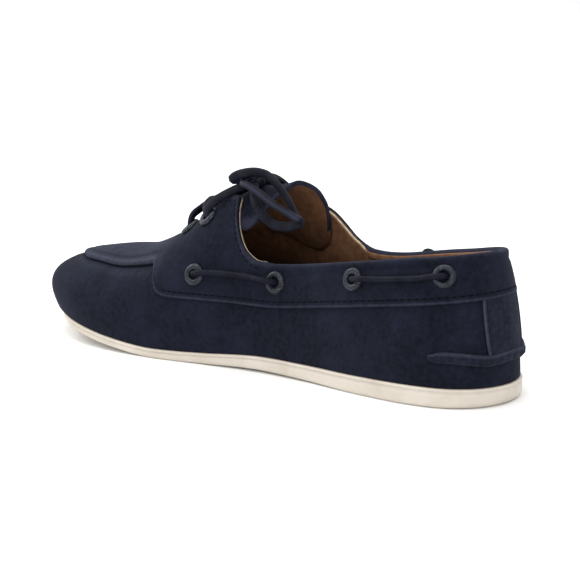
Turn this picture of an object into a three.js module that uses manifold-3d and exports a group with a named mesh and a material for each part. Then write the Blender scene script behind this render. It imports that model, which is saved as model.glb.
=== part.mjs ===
// A right boat shoe standing empty on its sole.
// Toe towards -Y, heel towards +Y, inner (medial) side towards +X, floor at Z = 0, millimetres.

import * as THREE from 'three';
import { mergeVertices } from 'three/addons/utils/BufferGeometryUtils.js';
import Module from 'manifold-3d';

const wasm = await Module();
wasm.setup();

// Driving sizes of the last and sole
const soleLength = 252;
const ballWidth = 88;
const instepHeight = 84;
const toeSpring = 12;
const heelThickness = 8.5;
const soleReach = 0.8;

// Walls, layers and the clearance between them
const upperWall = 1.8;
const overlayThickness = 1.3;
const panelThickness = 0.9;
const bandThickness = 2.2;
const tongueThickness = 2.2;
const insoleThickness = 2.5;
const seatGap = 0.3;

// Openings and overlays
const collarHeight = 66.5;
const throatWidth = 28;
const apronWidth = 60;
const tongueWidth = 44;
const bandHeight = 5;

// Eyelets and lace
const eyeletWidth = 10.2;
const eyeletHole = 5;
const eyeletRise = 1.2;
const barrelWall = 0.7;
const laceWidth = 3.8;
const knotWidth = 9;
const knotLength = 14;
const knotHeight = 5.6;

// Fineness of the faceted forms
const heightSteps = 7;
const lineSteps = 2;
const eyeletSides = 9;
const laceSides = 8;

const reachPast = 150;
const probe = 0.02;

function table(columns, ...rows) {
  return Object.fromEntries(columns.split(' ').map((name, i) => [name, rows.map((row) => row[i])]));
}

// The last in sections from heel to toe. at and crownAt are shares of soleLength from the heel,
// middle, half, ridge and bulge of ballWidth, rise of toeSpring, thick and edge of heelThickness
// and crown of instepHeight. steps is the number of facets up to the next row.
const sections = table(
  'at middle half rise thick edge crownAt crown ridge bulge steps',
  [0.000, 0.000, 0.000, 0.00, 1.00, 0.42, 0.096, 0.98, 0.000, -0.008, 3],
  [0.018, 0.000, 0.172, 0.00, 1.00, 0.38, 0.100, 0.98, 0.000, -0.008, 3],
  [0.065, 0.000, 0.287, 0.00, 1.00, 0.30, 0.120, 0.98, 0.000, -0.003, 2],
  [0.140, -0.003, 0.337, 0.00, 1.00, 0.22, 0.168, 0.98, 0.000, 0.006, 2],
  [0.240, -0.016, 0.349, 0.00, 0.98, 0.20, 0.240, 0.99, 0.000, 0.010, 2],
  [0.350, -0.038, 0.347, 0.05, 0.88, 0.20, 0.350, 1.00, 0.000, 0.008, 2],
  [0.460, -0.050, 0.365, 0.09, 0.72, 0.20, 0.455, 0.99, 0.004, 0.009, 3],
  [0.570, -0.044, 0.413, 0.02, 0.58, 0.18, 0.560, 0.918, 0.010, 0.013, 3],
  [0.670, -0.030, 0.460, 0.00, 0.51, 0.16, 0.660, 0.680, 0.016, 0.018, 3],
  [0.770, -0.008, 0.462, 0.20, 0.47, 0.14, 0.765, 0.530, 0.024, 0.026, 3],
  [0.860, 0.014, 0.408, 0.48, 0.42, 0.12, 0.855, 0.486, 0.034, 0.038, 3],
  [0.935, 0.030, 0.300, 0.75, 0.36, 0.10, 0.918, 0.450, 0.040, 0.046, 2],
  [0.982, 0.038, 0.165, 0.94, 0.32, 0.10, 0.945, 0.424, 0.042, 0.050, 3],
  [1.000, 0.040, 0.000, 1.00, 0.30, 0.10, 0.953, 0.412, 0.042, 0.050, 0],
);

// The top line on each side: at is a share of soleLength, height of collarHeight.
const topLineMedial = table(
  'at height',
  [-0.040, 0.970], [0.000, 0.970], [0.040, 0.966], [0.085, 0.944], [0.156, 0.907], [0.256, 0.842],
  [0.364, 0.773], [0.420, 0.746], [0.448, 0.733], [0.468, 0.757], [0.482, 0.805], [0.500, 0.890],
  [0.518, 0.990], [0.532, 1.085], [0.545, 1.180],
);
const topLineLateral = table(
  'at height',
  [-0.040, 0.970], [0.000, 0.970], [0.040, 0.955], [0.085, 0.920], [0.136, 0.878], [0.193, 0.838],
  [0.251, 0.795], [0.300, 0.762], [0.345, 0.748], [0.385, 0.760], [0.407, 0.805], [0.427, 0.895],
  [0.448, 0.980], [0.490, 1.060], [0.545, 1.180],
);

// The lower and front edge of the piece that makes the apron, the facings and the collar.
const topPieceEdge = table(
  'at height',
  [-0.040, 0.762], [0.000, 0.755], [0.030, 0.736], [0.072, 0.698], [0.200, 0.597], [0.309, 0.523],
  [0.420, 0.463], [0.504, 0.455], [0.580, 0.447], [0.630, 0.440], [0.648, 0.446], [0.660, 0.478],
  [0.670, 0.520], [0.682, 0.588], [0.700, 0.655],
);

// Outlines seen from above: medial and lateral are half widths on each side of the ridge,
// as shares of apronWidth, throatWidth or tongueWidth.
const apron = table(
  'at medial lateral',
  [0.941, 0.00, 0.00], [0.937, 0.08, 0.08], [0.925, 0.16, 0.16], [0.897, 0.25, 0.25], [0.862, 0.325, 0.325],
  [0.808, 0.405, 0.405], [0.743, 0.475, 0.475], [0.690, 0.500, 0.500], [0.600, 0.500, 0.500],
);
const throat = table(
  'at medial lateral',
  [0.686, 0.00, 0.00], [0.684, 0.12, 0.12], [0.674, 0.21, 0.21], [0.645, 0.28, 0.28],
  [0.600, 0.36, 0.36], [0.545, 0.45, 0.45], [0.500, 0.58, 0.58],
);
const tongueShape = table(
  'at medial lateral',
  [0.716, 0.00, 0.00], [0.712, 0.14, 0.14], [0.696, 0.25, 0.25], [0.650, 0.33, 0.36], [0.580, 0.41, 0.48],
  [0.530, 0.46, 0.56], [0.505, 0.455, 0.59], [0.487, 0.39, 0.60], [0.470, 0.28, 0.59], [0.458, 0.13, 0.57],
  [0.448, -0.07, 0.54], [0.440, -0.28, 0.48], [0.436, -0.38, 0.38],
);

// The gathered heel band along its middle line, and the side seam of the heel panel.
const heelBand = table(
  'at height',
  [0.090, 0.316], [0.063, 0.325], [0.036, 0.317], [0.013, 0.300], [0.000, 0.318], [-0.006, 0.345],
  [-0.040, 0.400],
);
const heelSeam = table('at height', [0.046, 0.820], [0.030, 0.540], [0.010, 0.240]);

// Eyelet places: at and height as for the top line, at and half as for the throat.
const sideEyelets = table('at height', [0.585, 0.602], [0.415, 0.623], [0.246, 0.729], [0.079, 0.817]);
const throatEyelets = table('at half', [0.648, 0.46], [0.592, 0.60]);

// The bow: the knot lies between the facings, and each loose piece of lace starts and ends in it.
// Its points are drawn on a last of drawnLast's width, length and height, and scale with the shoe's.
const drawnLast = new THREE.Vector3(88, 252, 84);
const bowScale = new THREE.Vector3(ballWidth, soleLength, instepHeight).divide(drawnLast);
const knotCentre = new THREE.Vector3(6.5, -8.5, 81.1).multiply(bowScale);
const looseLaces = {
  lace_loop_medial: [
    [7.5, -14.2, 80.6], [8.2, -17.4, 80], [9, -18, 80.8], [10, -14.9, 83], [11.5, -7.7, 85.3],
    [12.5, 0.1, 86.4], [13, 6.2, 85.6], [15, 13, 82.5], [16.5, 20.2, 76.9], [17.5, 25.4, 70.3],
    [18, 28.7, 67.9], [18.5, 24.9, 66], [18.5, 18.7, 65], [18.5, 12.5, 65.9], [18.2, 7.1, 69.3],
    [16.5, 2, 74], [10.3, -4.1, 80],
  ],
  lace_end_medial: [
    [10.5, -8.8, 80.6], [14.5, -6.2, 81], [18, -1.5, 81.2], [20.5, 7.9, 78.6], [21.8, 16.2, 75.3],
    [22.3, 24.6, 72.3], [22.5, 32.3, 69.6],
  ],
  lace_loop_lateral: [
    [2, -13, 82.9], [-3, -16.6, 83.6], [-11, -18.2, 80.4], [-19, -19, 74.6], [-27, -19, 66.5],
    [-33, -17, 58.8], [-34, -13.5, 57.6], [-33, -10.5, 59.3], [-28, -9.5, 66.3], [-20, -9.7, 75],
    [-12, -9.4, 80], [-4, -6.8, 82], [3, -4.8, 81],
  ],
  lace_end_lateral: [
    [2.8, -8.2, 83.2], [-2, -10.6, 83.8], [-6, -12.6, 82.8], [-10, -13.4, 81], [-16, -14.2, 77.6],
    [-22, -14.4, 72.4], [-27, -14.2, 66.8], [-30, -14, 62.2],
  ],
};

// Value of a column between its rows, mirrored past both tips of the last.
function valueAt(column, u, mirror = 1) {
  const last = column.length - 1;
  const pick = (i) => {
    if (i < 0) return mirror * column[-i];
    if (i > last) return mirror * column[2 * last - i];
    return column[i];
  };
  const i = Math.floor(u);
  const t = u - i;
  const [a, b, c, d] = [pick(i - 1), pick(i), pick(i + 1), pick(i + 2)];
  return b + 0.5 * t * (c - a + t * (2 * a - 5 * b + 4 * c - d + t * (3 * (b - c) + d - a)));
}

const lastRow = sections.at.length - 1;
const lengthwise = (at) => (0.5 - at) * soleLength;

function ground(u) {
  return Math.max(0, valueAt(sections.rise, u)) * toeSpring;
}

function soleTop(u) {
  return ground(u) + valueAt(sections.thick, u) * heelThickness;
}

// The feather line, where the upper meets the sole, on the medial (1) or lateral (-1) side
function featherPoint(u, side) {
  const half = side * valueAt(sections.half, u, -1);
  const x = (valueAt(sections.middle, u) + half) * ballWidth;
  return new THREE.Vector2(x, lengthwise(valueAt(sections.at, u)));
}

function featherNormal(u, side) {
  const behind = featherPoint(u - probe, side);
  const ahead = featherPoint(u + probe, side);
  return new THREE.Vector2(behind.y - ahead.y, ahead.x - behind.x).normalize().multiplyScalar(side);
}

function outlinePoint(u, side, reach, z) {
  const p = featherPoint(u, side).addScaledVector(featherNormal(u, side), reach);
  return new THREE.Vector3(p.x, p.y, z);
}

// The last's surface: v runs from 0 at the feather line to 1 on the ridge.
function surface(u, side, v) {
  const angle = (v * Math.PI) / 2;
  const bulge = valueAt(sections.bulge, u) * ballWidth * Math.sin(2 * angle);
  const foot = featherPoint(u, side).addScaledVector(featherNormal(u, side), bulge);
  const crownAt = lengthwise(valueAt(sections.crownAt, u));
  const ridge = new THREE.Vector2(valueAt(sections.ridge, u) * ballWidth, crownAt);
  const plan = foot.lerp(ridge, 1 - Math.cos(angle));
  const floor = soleTop(u) + seatGap;
  const crown = valueAt(sections.crown, u) * instepHeight;
  return new THREE.Vector3(plan.x, plan.y, floor + (crown - floor) * Math.sin(angle));
}

function sideNormal(u, side, v) {
  const w = Math.min(v, 1 - 2 * probe);
  const along = surface(u + probe, side, w).sub(surface(u - probe, side, w));
  const up = surface(u, side, w + probe).sub(surface(u, side, w - probe));
  return along.cross(up).normalize().multiplyScalar(-side);
}

function normalAt(u, side, v) {
  const shared = v === 1 || u === 0 || u === lastRow;
  const normal = sideNormal(u, side, v);
  return shared ? normal.add(sideNormal(u, -side, v)).normalize() : normal;
}

function shellPoint(place, offset) {
  const { u, side, v } = place;
  return surface(u, side, v).addScaledVector(normalAt(u, side, v), offset);
}

// The place on the last whose two named coordinates have the wanted values
function findPlace(side, axes, wanted) {
  const miss = (u, v) => {
    const p = surface(u, side, v);
    return axes.map((axis, i) => p[axis] - wanted[i]);
  };
  let best = { size: Infinity };
  for (let u = 1; u < lastRow; u += 0.5) {
    for (let v = 0.05; v < 1; v += 0.1) {
      const size = Math.hypot(...miss(u, v));
      if (size < best.size) best = { u, v, size };
    }
  }
  let { u, v } = best;
  for (let round = 0; round < 12; round += 1) {
    const [a, b] = miss(u, v);
    const [au, bu] = miss(u + probe, v).map((value, i) => (value - [a, b][i]) / probe);
    const [av, bv] = miss(u, v + probe).map((value, i) => (value - [a, b][i]) / probe);
    const det = au * bv - av * bu;
    u -= (a * bv - av * b) / det;
    v -= (au * b - a * bu) / det;
  }
  return { u, side, v: Math.min(v, 1) };
}

// Solids from three.js geometry and back

function solidOf(geometry) {
  const bare = new THREE.BufferGeometry();
  bare.setAttribute('position', geometry.attributes.position);
  if (geometry.index) bare.setIndex(geometry.index);
  const merged = mergeVertices(bare, 1e-4);
  const index = Array.from(merged.index.array);
  const triangles = [];
  for (let i = 0; i < index.length; i += 3) {
    const [a, b, c] = index.slice(i, i + 3);
    if (a !== b && b !== c && c !== a) triangles.push(a, b, c);
  }
  const vertProperties = new Float32Array(merged.attributes.position.array);
  const triVerts = new Uint32Array(triangles);
  return new wasm.Manifold(new wasm.Mesh({ numProp: 3, vertProperties, triVerts }));
}

function geometryOf(solid) {
  const mesh = solid.getMesh();
  const geometry = new THREE.BufferGeometry();
  geometry.setAttribute('position', new THREE.BufferAttribute(new Float32Array(mesh.vertProperties), 3));
  geometry.setIndex(Array.from(mesh.triVerts));
  geometry.computeVertexNormals();
  return geometry;
}

// A closed loft through rings of points whose first and last ring fold flat
function loft(rings) {
  const count = rings[0].length;
  const points = rings.flat();
  const index = [];
  for (let r = 0; r < rings.length - 1; r += 1) {
    for (let i = 0; i < count; i += 1) {
      const next = (i + 1) % count;
      const [a, b] = [r * count + i, r * count + next];
      const [c, d] = [a + count, b + count];
      if (points[a].distanceTo(points[d]) < points[b].distanceTo(points[c])) index.push(a, b, d, a, d, c);
      else index.push(a, b, c, b, d, c);
    }
  }
  const geometry = new THREE.BufferGeometry().setFromPoints(points);
  geometry.setIndex(index);
  return geometry;
}

const hoops = sections.steps.flatMap((steps, row) => (
  Array.from({ length: steps }, (_, i) => row + i / steps)
));
hoops.push(lastRow);
const heights = Array.from({ length: heightSteps + 1 }, (_, i) => i / heightSteps);

function lastSolid(offset, drop = 0) {
  const rings = hoops.map((u) => {
    const medial = heights.map((v) => shellPoint({ u, side: 1, v }, offset));
    const lateral = heights.slice(0, -1).map((v) => shellPoint({ u, side: -1, v }, offset)).reverse();
    const below = [lateral.at(-1), medial[0]].map((p) => new THREE.Vector3(p.x, p.y, p.z - drop));
    return drop ? [...medial, ...lateral, ...below] : [...medial, ...lateral];
  });
  return solidOf(loft(rings));
}

// A shell between two larger forms of the last
function layer(from, thickness) {
  return lastSolid(from + thickness).subtract(lastSolid(from, reachPast));
}

// Prisms seen from the side (points in Y and Z) and from above (points in X and Y)
function prismAcross(points, fromX, toX) {
  const shape = new THREE.Shape(points);
  const geometry = new THREE.ExtrudeGeometry(shape, { depth: toX - fromX, bevelEnabled: false });
  const [x, y, z] = [new THREE.Vector3(0, 1, 0), new THREE.Vector3(0, 0, 1), new THREE.Vector3(1, 0, 0)];
  geometry.applyMatrix4(new THREE.Matrix4().makeBasis(x, y, z).setPosition(fromX, 0, 0));
  return solidOf(geometry);
}

function prismUp(points, fromZ, toZ) {
  const shape = new THREE.Shape(points);
  const geometry = new THREE.ExtrudeGeometry(shape, { depth: toZ - fromZ, bevelEnabled: false });
  return solidOf(geometry.translate(0, 0, fromZ));
}

function sideLine(rows, size) {
  const points = rows.at.map((at, i) => new THREE.Vector2(lengthwise(at), rows.height[i] * size));
  return new THREE.SplineCurve(points).getPoints(lineSteps * (points.length - 1));
}

function ridgeX(at) {
  const row = sections.at.findIndex((value) => value > at);
  const share = (at - sections.at[row - 1]) / (sections.at[row] - sections.at[row - 1]);
  return THREE.MathUtils.lerp(sections.ridge[row - 1], sections.ridge[row], share) * ballWidth;
}

function planOutline(rows, size) {
  const edge = (name, side) => {
    const points = rows.at.map((at, i) => {
      return new THREE.Vector2(ridgeX(at) + side * rows[name][i] * size, lengthwise(at));
    });
    return new THREE.SplineCurve(points).getPoints(lineSteps * (points.length - 1));
  };
  return [...edge('medial', 1), ...edge('lateral', -1).reverse()];
}

// The collar and throat opening
function topLinePrism(rows, fromX, toX) {
  const line = sideLine(rows, collarHeight);
  const back = new THREE.Vector2(line[0].x + reachPast, line[0].y);
  const backTop = new THREE.Vector2(back.x, reachPast);
  const frontTop = new THREE.Vector2(line.at(-1).x, reachPast);
  return prismAcross([back, ...line, frontTop, backTop], fromX, toX);
}

const opening = topLinePrism(topLineMedial, 0, reachPast)
  .add(topLinePrism(topLineLateral, -reachPast, 0))
  .add(prismUp(planOutline(throat, throatWidth), 0, reachPast));

// Everything above a side line that is raised by lift
function aboveLine(rows, lift = 0) {
  const line = sideLine(rows, collarHeight).map((p) => new THREE.Vector2(p.x, p.y + lift));
  const frontTop = new THREE.Vector2(line.at(-1).x, reachPast);
  const backTop = new THREE.Vector2(line[0].x, reachPast);
  return prismAcross([...line, frontTop, backTop], -reachPast, reachPast);
}

// Eyelets, each with its flange on the overlay and its barrel through both layers

const overlayTop = seatGap + overlayThickness;
const flangeTop = overlayTop + seatGap + eyeletRise;
const barrelRadius = eyeletHole / 2 + barrelWall;

function eyeletPlaces() {
  const places = [];
  for (const [sideName, side] of [['medial', 1], ['lateral', -1]]) {
    sideEyelets.at.forEach((at, i) => {
      const wanted = [lengthwise(at), sideEyelets.height[i] * collarHeight];
      places.push({ name: `eyelet_side_${sideName}_${i + 1}`, place: findPlace(side, ['y', 'z'], wanted) });
    });
    throatEyelets.at.forEach((at, i) => {
      const wanted = [ridgeX(at) + side * throatEyelets.half[i] * throatWidth, lengthwise(at)];
      const place = findPlace(side, ['x', 'y'], wanted);
      places.push({ name: `eyelet_throat_${sideName}_${i + 1}`, place });
    });
  }
  return places;
}

const eyelets = eyeletPlaces();
const eyeletNamed = (name) => eyelets.find((eyelet) => eyelet.name === name).place;

function standOn(object, place, offset) {
  const normal = normalAt(place.u, place.side, place.v);
  object.position.copy(shellPoint(place, offset));
  object.quaternion.setFromUnitVectors(new THREE.Vector3(0, 1, 0), normal);
  object.updateMatrix();
  return object;
}

function eyeletHoles() {
  const length = 2 * (upperWall + overlayTop);
  const radius = barrelRadius + seatGap;
  return eyelets.map(({ place }) => {
    const hole = new THREE.CylinderGeometry(radius, radius, 2 * length, eyeletSides);
    const stand = standOn(new THREE.Object3D(), place, 0);
    return solidOf(hole.applyMatrix4(stand.matrix));
  }).reduce((all, hole) => all.add(hole));
}

function eyeletGeometry() {
  const flangeFoot = overlayTop + seatGap;
  const profile = [
    [eyeletHole / 2, -upperWall],
    [barrelRadius, -upperWall],
    [barrelRadius, flangeFoot],
    [eyeletWidth / 2, flangeFoot],
    [(eyeletWidth + eyeletHole) / 4, flangeTop],
    [eyeletHole / 2, flangeFoot],
    [eyeletHole / 2, -upperWall],
  ];
  const points = profile.map(([r, y]) => new THREE.Vector2(r, y));
  return new THREE.LatheGeometry(points, eyeletSides);
}

const holes = eyeletHoles();

// Upper, overlays, tongue, insole and sole

function upperSolid() {
  return lastSolid(0).subtract(lastSolid(-upperWall, reachPast)).subtract(opening).subtract(holes);
}

function topPieceSolid() {
  const region = aboveLine(topPieceEdge).add(prismUp(planOutline(apron, apronWidth), 0, reachPast));
  return layer(seatGap, overlayThickness).intersect(region).subtract(opening).subtract(holes);
}

function heelPanelSolid() {
  const seam = sideLine(heelSeam, collarHeight);
  const back = seam[0].x + reachPast;
  const behind = [...seam, new THREE.Vector2(back, seam.at(-1).y), new THREE.Vector2(back, seam[0].y)];
  return layer(seatGap, panelThickness)
    .intersect(prismAcross(behind, -reachPast, reachPast))
    .intersect(aboveLine(heelBand, bandHeight / 2 + seatGap))
    .subtract(aboveLine(topPieceEdge, -seatGap));
}

function heelBandSolid() {
  const line = sideLine(heelBand, collarHeight);
  const upperLine = line.map((p) => new THREE.Vector2(p.x, p.y + bandHeight / 2));
  const lowerLine = line.map((p) => new THREE.Vector2(p.x, p.y - bandHeight / 2)).reverse();
  return layer(seatGap, bandThickness)
    .intersect(prismAcross([...upperLine, ...lowerLine], -reachPast, reachPast));
}

function tongueSolid() {
  const under = -upperWall - seatGap - tongueThickness;
  return layer(under, tongueThickness)
    .intersect(prismUp(planOutline(tongueShape, tongueWidth), 0, reachPast));
}

// A flat-bottomed ring of the sole or insole at one section, from reach and level pairs
function footRing(u, edges) {
  const medial = edges.map(([reach, z]) => outlinePoint(u, 1, reach, z));
  const lateral = edges.map(([reach, z]) => outlinePoint(u, -1, reach, z)).reverse();
  return [...medial, ...lateral];
}

function outsoleSolid() {
  return solidOf(loft(hoops.map((u) => {
    const round = valueAt(sections.edge, u) * heelThickness;
    const low = ground(u);
    const top = soleTop(u);
    return footRing(u, [
      [soleReach - round, low],
      [soleReach - round * 0.25, low + round * 0.4],
      [soleReach, low + round],
      [soleReach, top - seatGap],
      [soleReach - seatGap, top],
    ]);
  })));
}

function insoleSolid() {
  const reach = -(upperWall + seatGap);
  return solidOf(loft(hoops.map((u) => {
    const low = soleTop(u) + seatGap;
    return footRing(u, [[reach, low], [reach, low + insoleThickness]]);
  })));
}

// Lace tubes

function laceTube(points, steps) {
  const path = new THREE.CatmullRomCurve3(points);
  const ring = Array.from({ length: laceSides }, (_, i) => {
    const angle = (2 * Math.PI * (i + 0.5)) / laceSides;
    return new THREE.Vector2(Math.cos(angle), Math.sin(angle)).multiplyScalar(laceWidth / 2);
  });
  return solidOf(new THREE.ExtrudeGeometry(new THREE.Shape(ring), { extrudePath: path, steps }));
}

// A bar lies on the overlay between two side eyelets and rises over their flanges.
function laceBar(from, to) {
  const count = 8;
  const onOverlay = overlayTop + seatGap + laceWidth / 2;
  const overFlange = flangeTop + seatGap + laceWidth / 2;
  const points = Array.from({ length: count + 1 }, (_, i) => {
    const t = i / count;
    const nearEnd = 1 - THREE.MathUtils.smoothstep(Math.min(t, 1 - t), 0.12, 0.34);
    const [u, v] = ['u', 'v'].map((key) => THREE.MathUtils.lerp(from[key], to[key], t));
    return shellPoint({ u, side: from.side, v }, THREE.MathUtils.lerp(onOverlay, overFlange, nearEnd));
  });
  return laceTube(points, count);
}

// A crossing strand runs over the throat from one eyelet to the next on the other side.
function laceStrand(from, to, lift) {
  const count = 6;
  const start = surface(from.u, from.side, from.v);
  const end = surface(to.u, to.side, to.v);
  const overFlange = flangeTop + 3 * seatGap + laceWidth / 2;
  const points = Array.from({ length: count + 1 }, (_, i) => {
    const t = i / count;
    if (t === 0) return shellPoint(from, overFlange);
    if (t === 1) return shellPoint(to, overFlange);
    const [x, y] = [THREE.MathUtils.lerp(start.x, end.x, t), THREE.MathUtils.lerp(start.y, end.y, t)];
    const side = x > ridgeX(0.5 - y / soleLength) ? 1 : -1;
    return shellPoint(findPlace(side, ['x', 'y'], [x, y]), overFlange + lift * Math.sin(Math.PI * t));
  });
  return laceTube(points, count);
}

const throatPlace = (side, row) => eyeletNamed(`eyelet_throat_${side}_${row}`);

// The last stretch of lace on each side, from the second eyelet up to the knot
function laceRise(place, end) {
  const start = shellPoint(place, flangeTop + 2 * seatGap + laceWidth / 2);
  const normal = normalAt(place.u, place.side, place.v);
  const middle = start.clone().lerp(end, 0.3).addScaledVector(normal, 1.1 * laceWidth);
  return laceTube([start, middle, end], 4);
}

function laceCrossings() {
  const knotFoot = knotCentre.clone().add(new THREE.Vector3(0, 0, -knotHeight / 4));
  const strands = [
    laceStrand(throatPlace('medial', 1), throatPlace('lateral', 2), laceWidth / 2),
    laceStrand(throatPlace('lateral', 1), throatPlace('medial', 2), laceWidth / 8),
    laceRise(throatPlace('medial', 2), knotFoot),
    laceRise(throatPlace('lateral', 2), knotFoot),
  ];
  return strands.reduce((all, strand) => all.add(strand)).subtract(knotSolid(seatGap));
}

function knotSolid(growth = 0) {
  const ball = new THREE.SphereGeometry(1, 10, 6);
  const radii = [knotWidth, knotLength, knotHeight].map((size) => size / 2 + growth);
  return solidOf(ball.scale(...radii).translate(...knotCentre.toArray()));
}

function looseLace(route) {
  const points = route.map((p) => new THREE.Vector3(...p).multiply(bowScale));
  return laceTube(points, Math.round(new THREE.CatmullRomCurve3(points).getLength() / (2.5 * laceWidth)) + 2)
    .subtract(knotSolid(seatGap));
}

// Materials

const navyNubuck = { color: 0x2a3042, roughness: 0.92, metalness: 0 };
const paleRubber = { color: 0xd9d5cc, roughness: 0.65, metalness: 0 };
const tanLining = { color: 0x9a6a45, roughness: 0.7, metalness: 0 };
const darkMetal = { color: 0x4a5364, roughness: 0.45, metalness: 0.7 };
const navyLace = { color: 0x2c3145, roughness: 0.75, metalness: 0 };

// The assembly

const shoe = new THREE.Group();

function addPart(name, geometry, look) {
  const mesh = new THREE.Mesh(geometry, new THREE.MeshStandardMaterial(look));
  mesh.name = name;
  shoe.add(mesh);
  return mesh;
}

addPart('outsole', geometryOf(outsoleSolid()), paleRubber);
addPart('insole', geometryOf(insoleSolid()), tanLining);
addPart('upper', geometryOf(upperSolid()), navyNubuck);
addPart('top_piece', geometryOf(topPieceSolid()), navyNubuck);
addPart('heel_panel', geometryOf(heelPanelSolid()), navyNubuck);
addPart('heel_band', geometryOf(heelBandSolid()), navyNubuck);
addPart('tongue', geometryOf(tongueSolid()), navyNubuck);

for (const { name, place } of eyelets) {
  const stand = standOn(new THREE.Object3D(), place, 0);
  addPart(name, geometryOf(solidOf(eyeletGeometry().applyMatrix4(stand.matrix))), darkMetal);
}

for (const side of ['medial', 'lateral']) {
  for (const bar of [1, 2]) {
    const [from, to] = [2 * bar - 1, 2 * bar].map((i) => eyeletNamed(`eyelet_side_${side}_${i}`));
    addPart(`lace_bar_${side}_${bar}`, geometryOf(laceBar(from, to)), navyLace);
  }
}

addPart('lace_crossings', geometryOf(laceCrossings()), navyLace);
addPart('lace_knot', geometryOf(knotSolid()), navyLace);
const isLoose = (name) => name === 'lace_knot' || name in looseLaces;
for (const [name, route] of Object.entries(looseLaces)) {
  addPart(name, geometryOf(looseLace(route)), navyLace);
}

// The box of all but the loose lace is centred over the origin and rests on the floor.
const box = new THREE.Box3();
for (const mesh of shoe.children.filter(({ name }) => !isLoose(name))) box.expandByObject(mesh);
const centre = box.getCenter(new THREE.Vector3());
shoe.position.set(-centre.x, -centre.y, -box.min.z);

export default shoe;
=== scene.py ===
import math

import bmesh
import bpy
import numpy as np
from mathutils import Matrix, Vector


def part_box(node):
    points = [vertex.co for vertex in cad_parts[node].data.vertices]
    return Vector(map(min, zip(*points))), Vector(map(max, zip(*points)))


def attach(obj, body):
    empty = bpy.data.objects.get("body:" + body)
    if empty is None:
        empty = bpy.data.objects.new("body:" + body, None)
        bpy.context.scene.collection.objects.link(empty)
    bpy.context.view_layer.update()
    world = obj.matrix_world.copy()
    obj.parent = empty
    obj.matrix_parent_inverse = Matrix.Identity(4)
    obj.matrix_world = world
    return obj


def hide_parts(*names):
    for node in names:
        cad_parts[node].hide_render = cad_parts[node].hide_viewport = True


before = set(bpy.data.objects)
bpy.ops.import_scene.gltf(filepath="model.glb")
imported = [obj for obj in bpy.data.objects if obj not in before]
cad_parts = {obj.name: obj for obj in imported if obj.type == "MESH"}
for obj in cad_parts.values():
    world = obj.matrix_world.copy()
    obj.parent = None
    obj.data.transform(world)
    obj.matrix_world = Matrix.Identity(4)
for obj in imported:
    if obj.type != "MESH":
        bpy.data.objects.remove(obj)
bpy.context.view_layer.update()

scene = bpy.context.scene

# The last's driving sizes in millimetres, as in the frame. Where the photo asked for it, rows of the
# tables below lie nearer to the photo than the frame's do.
size = {
    "soleLength": 252.0,
    "ballWidth": 88.0,
    "instepHeight": 84.0,
    "toeSpring": 12.0,
    "heelThickness": 8.5,
    "soleReach": 0.8,
    "upperWall": 1.8,
    "overlay": 1.3,
    "gap": 0.3,
    "collarHeight": 66.5,
    "throatWidth": 28.0,
    "apronWidth": 60.0,
    "tongueWidth": 44.0,
}


def table(columns, *rows):
    return {name: np.array([row[i] for row in rows], float) for i, name in enumerate(columns.split())}


# The last in sections from heel to toe. at and crownAt are shares of soleLength from the heel,
# middle, half, ridge and bulge of ballWidth, rise of toeSpring, thick and edge of heelThickness
# and crown of instepHeight.
sections = table(
    "at middle half rise thick edge crownAt crown ridge bulge",
    (0.000, 0.000, 0.000, 0.00, 1.00, 0.42, 0.096, 0.98, 0.000, -0.008),
    (0.018, 0.000, 0.172, 0.00, 1.00, 0.38, 0.100, 0.98, 0.000, -0.008),
    (0.065, 0.000, 0.287, 0.00, 1.00, 0.30, 0.120, 0.98, 0.000, -0.003),
    (0.140, -0.003, 0.337, 0.00, 0.98, 0.22, 0.168, 0.98, 0.000, 0.006),
    (0.240, -0.016, 0.349, 0.00, 0.92, 0.20, 0.240, 0.99, 0.000, 0.010),
    (0.350, -0.038, 0.347, 0.05, 0.81, 0.20, 0.350, 1.00, 0.000, 0.008),
    (0.460, -0.050, 0.365, 0.09, 0.72, 0.20, 0.455, 0.99, 0.004, 0.009),
    (0.570, -0.044, 0.413, 0.02, 0.58, 0.18, 0.560, 0.918, 0.010, 0.013),
    (0.670, -0.030, 0.460, 0.00, 0.51, 0.16, 0.660, 0.680, 0.016, 0.018),
    (0.770, -0.008, 0.462, 0.20, 0.47, 0.14, 0.765, 0.530, 0.024, 0.026),
    (0.860, 0.014, 0.408, 0.48, 0.42, 0.12, 0.855, 0.486, 0.034, 0.038),
    (0.935, 0.030, 0.300, 0.75, 0.36, 0.10, 0.918, 0.450, 0.040, 0.060),
    (0.982, 0.038, 0.165, 0.94, 0.32, 0.10, 0.945, 0.424, 0.042, 0.074),
    (1.000, 0.040, 0.000, 1.00, 0.30, 0.10, 0.953, 0.412, 0.042, 0.076),
)

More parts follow.
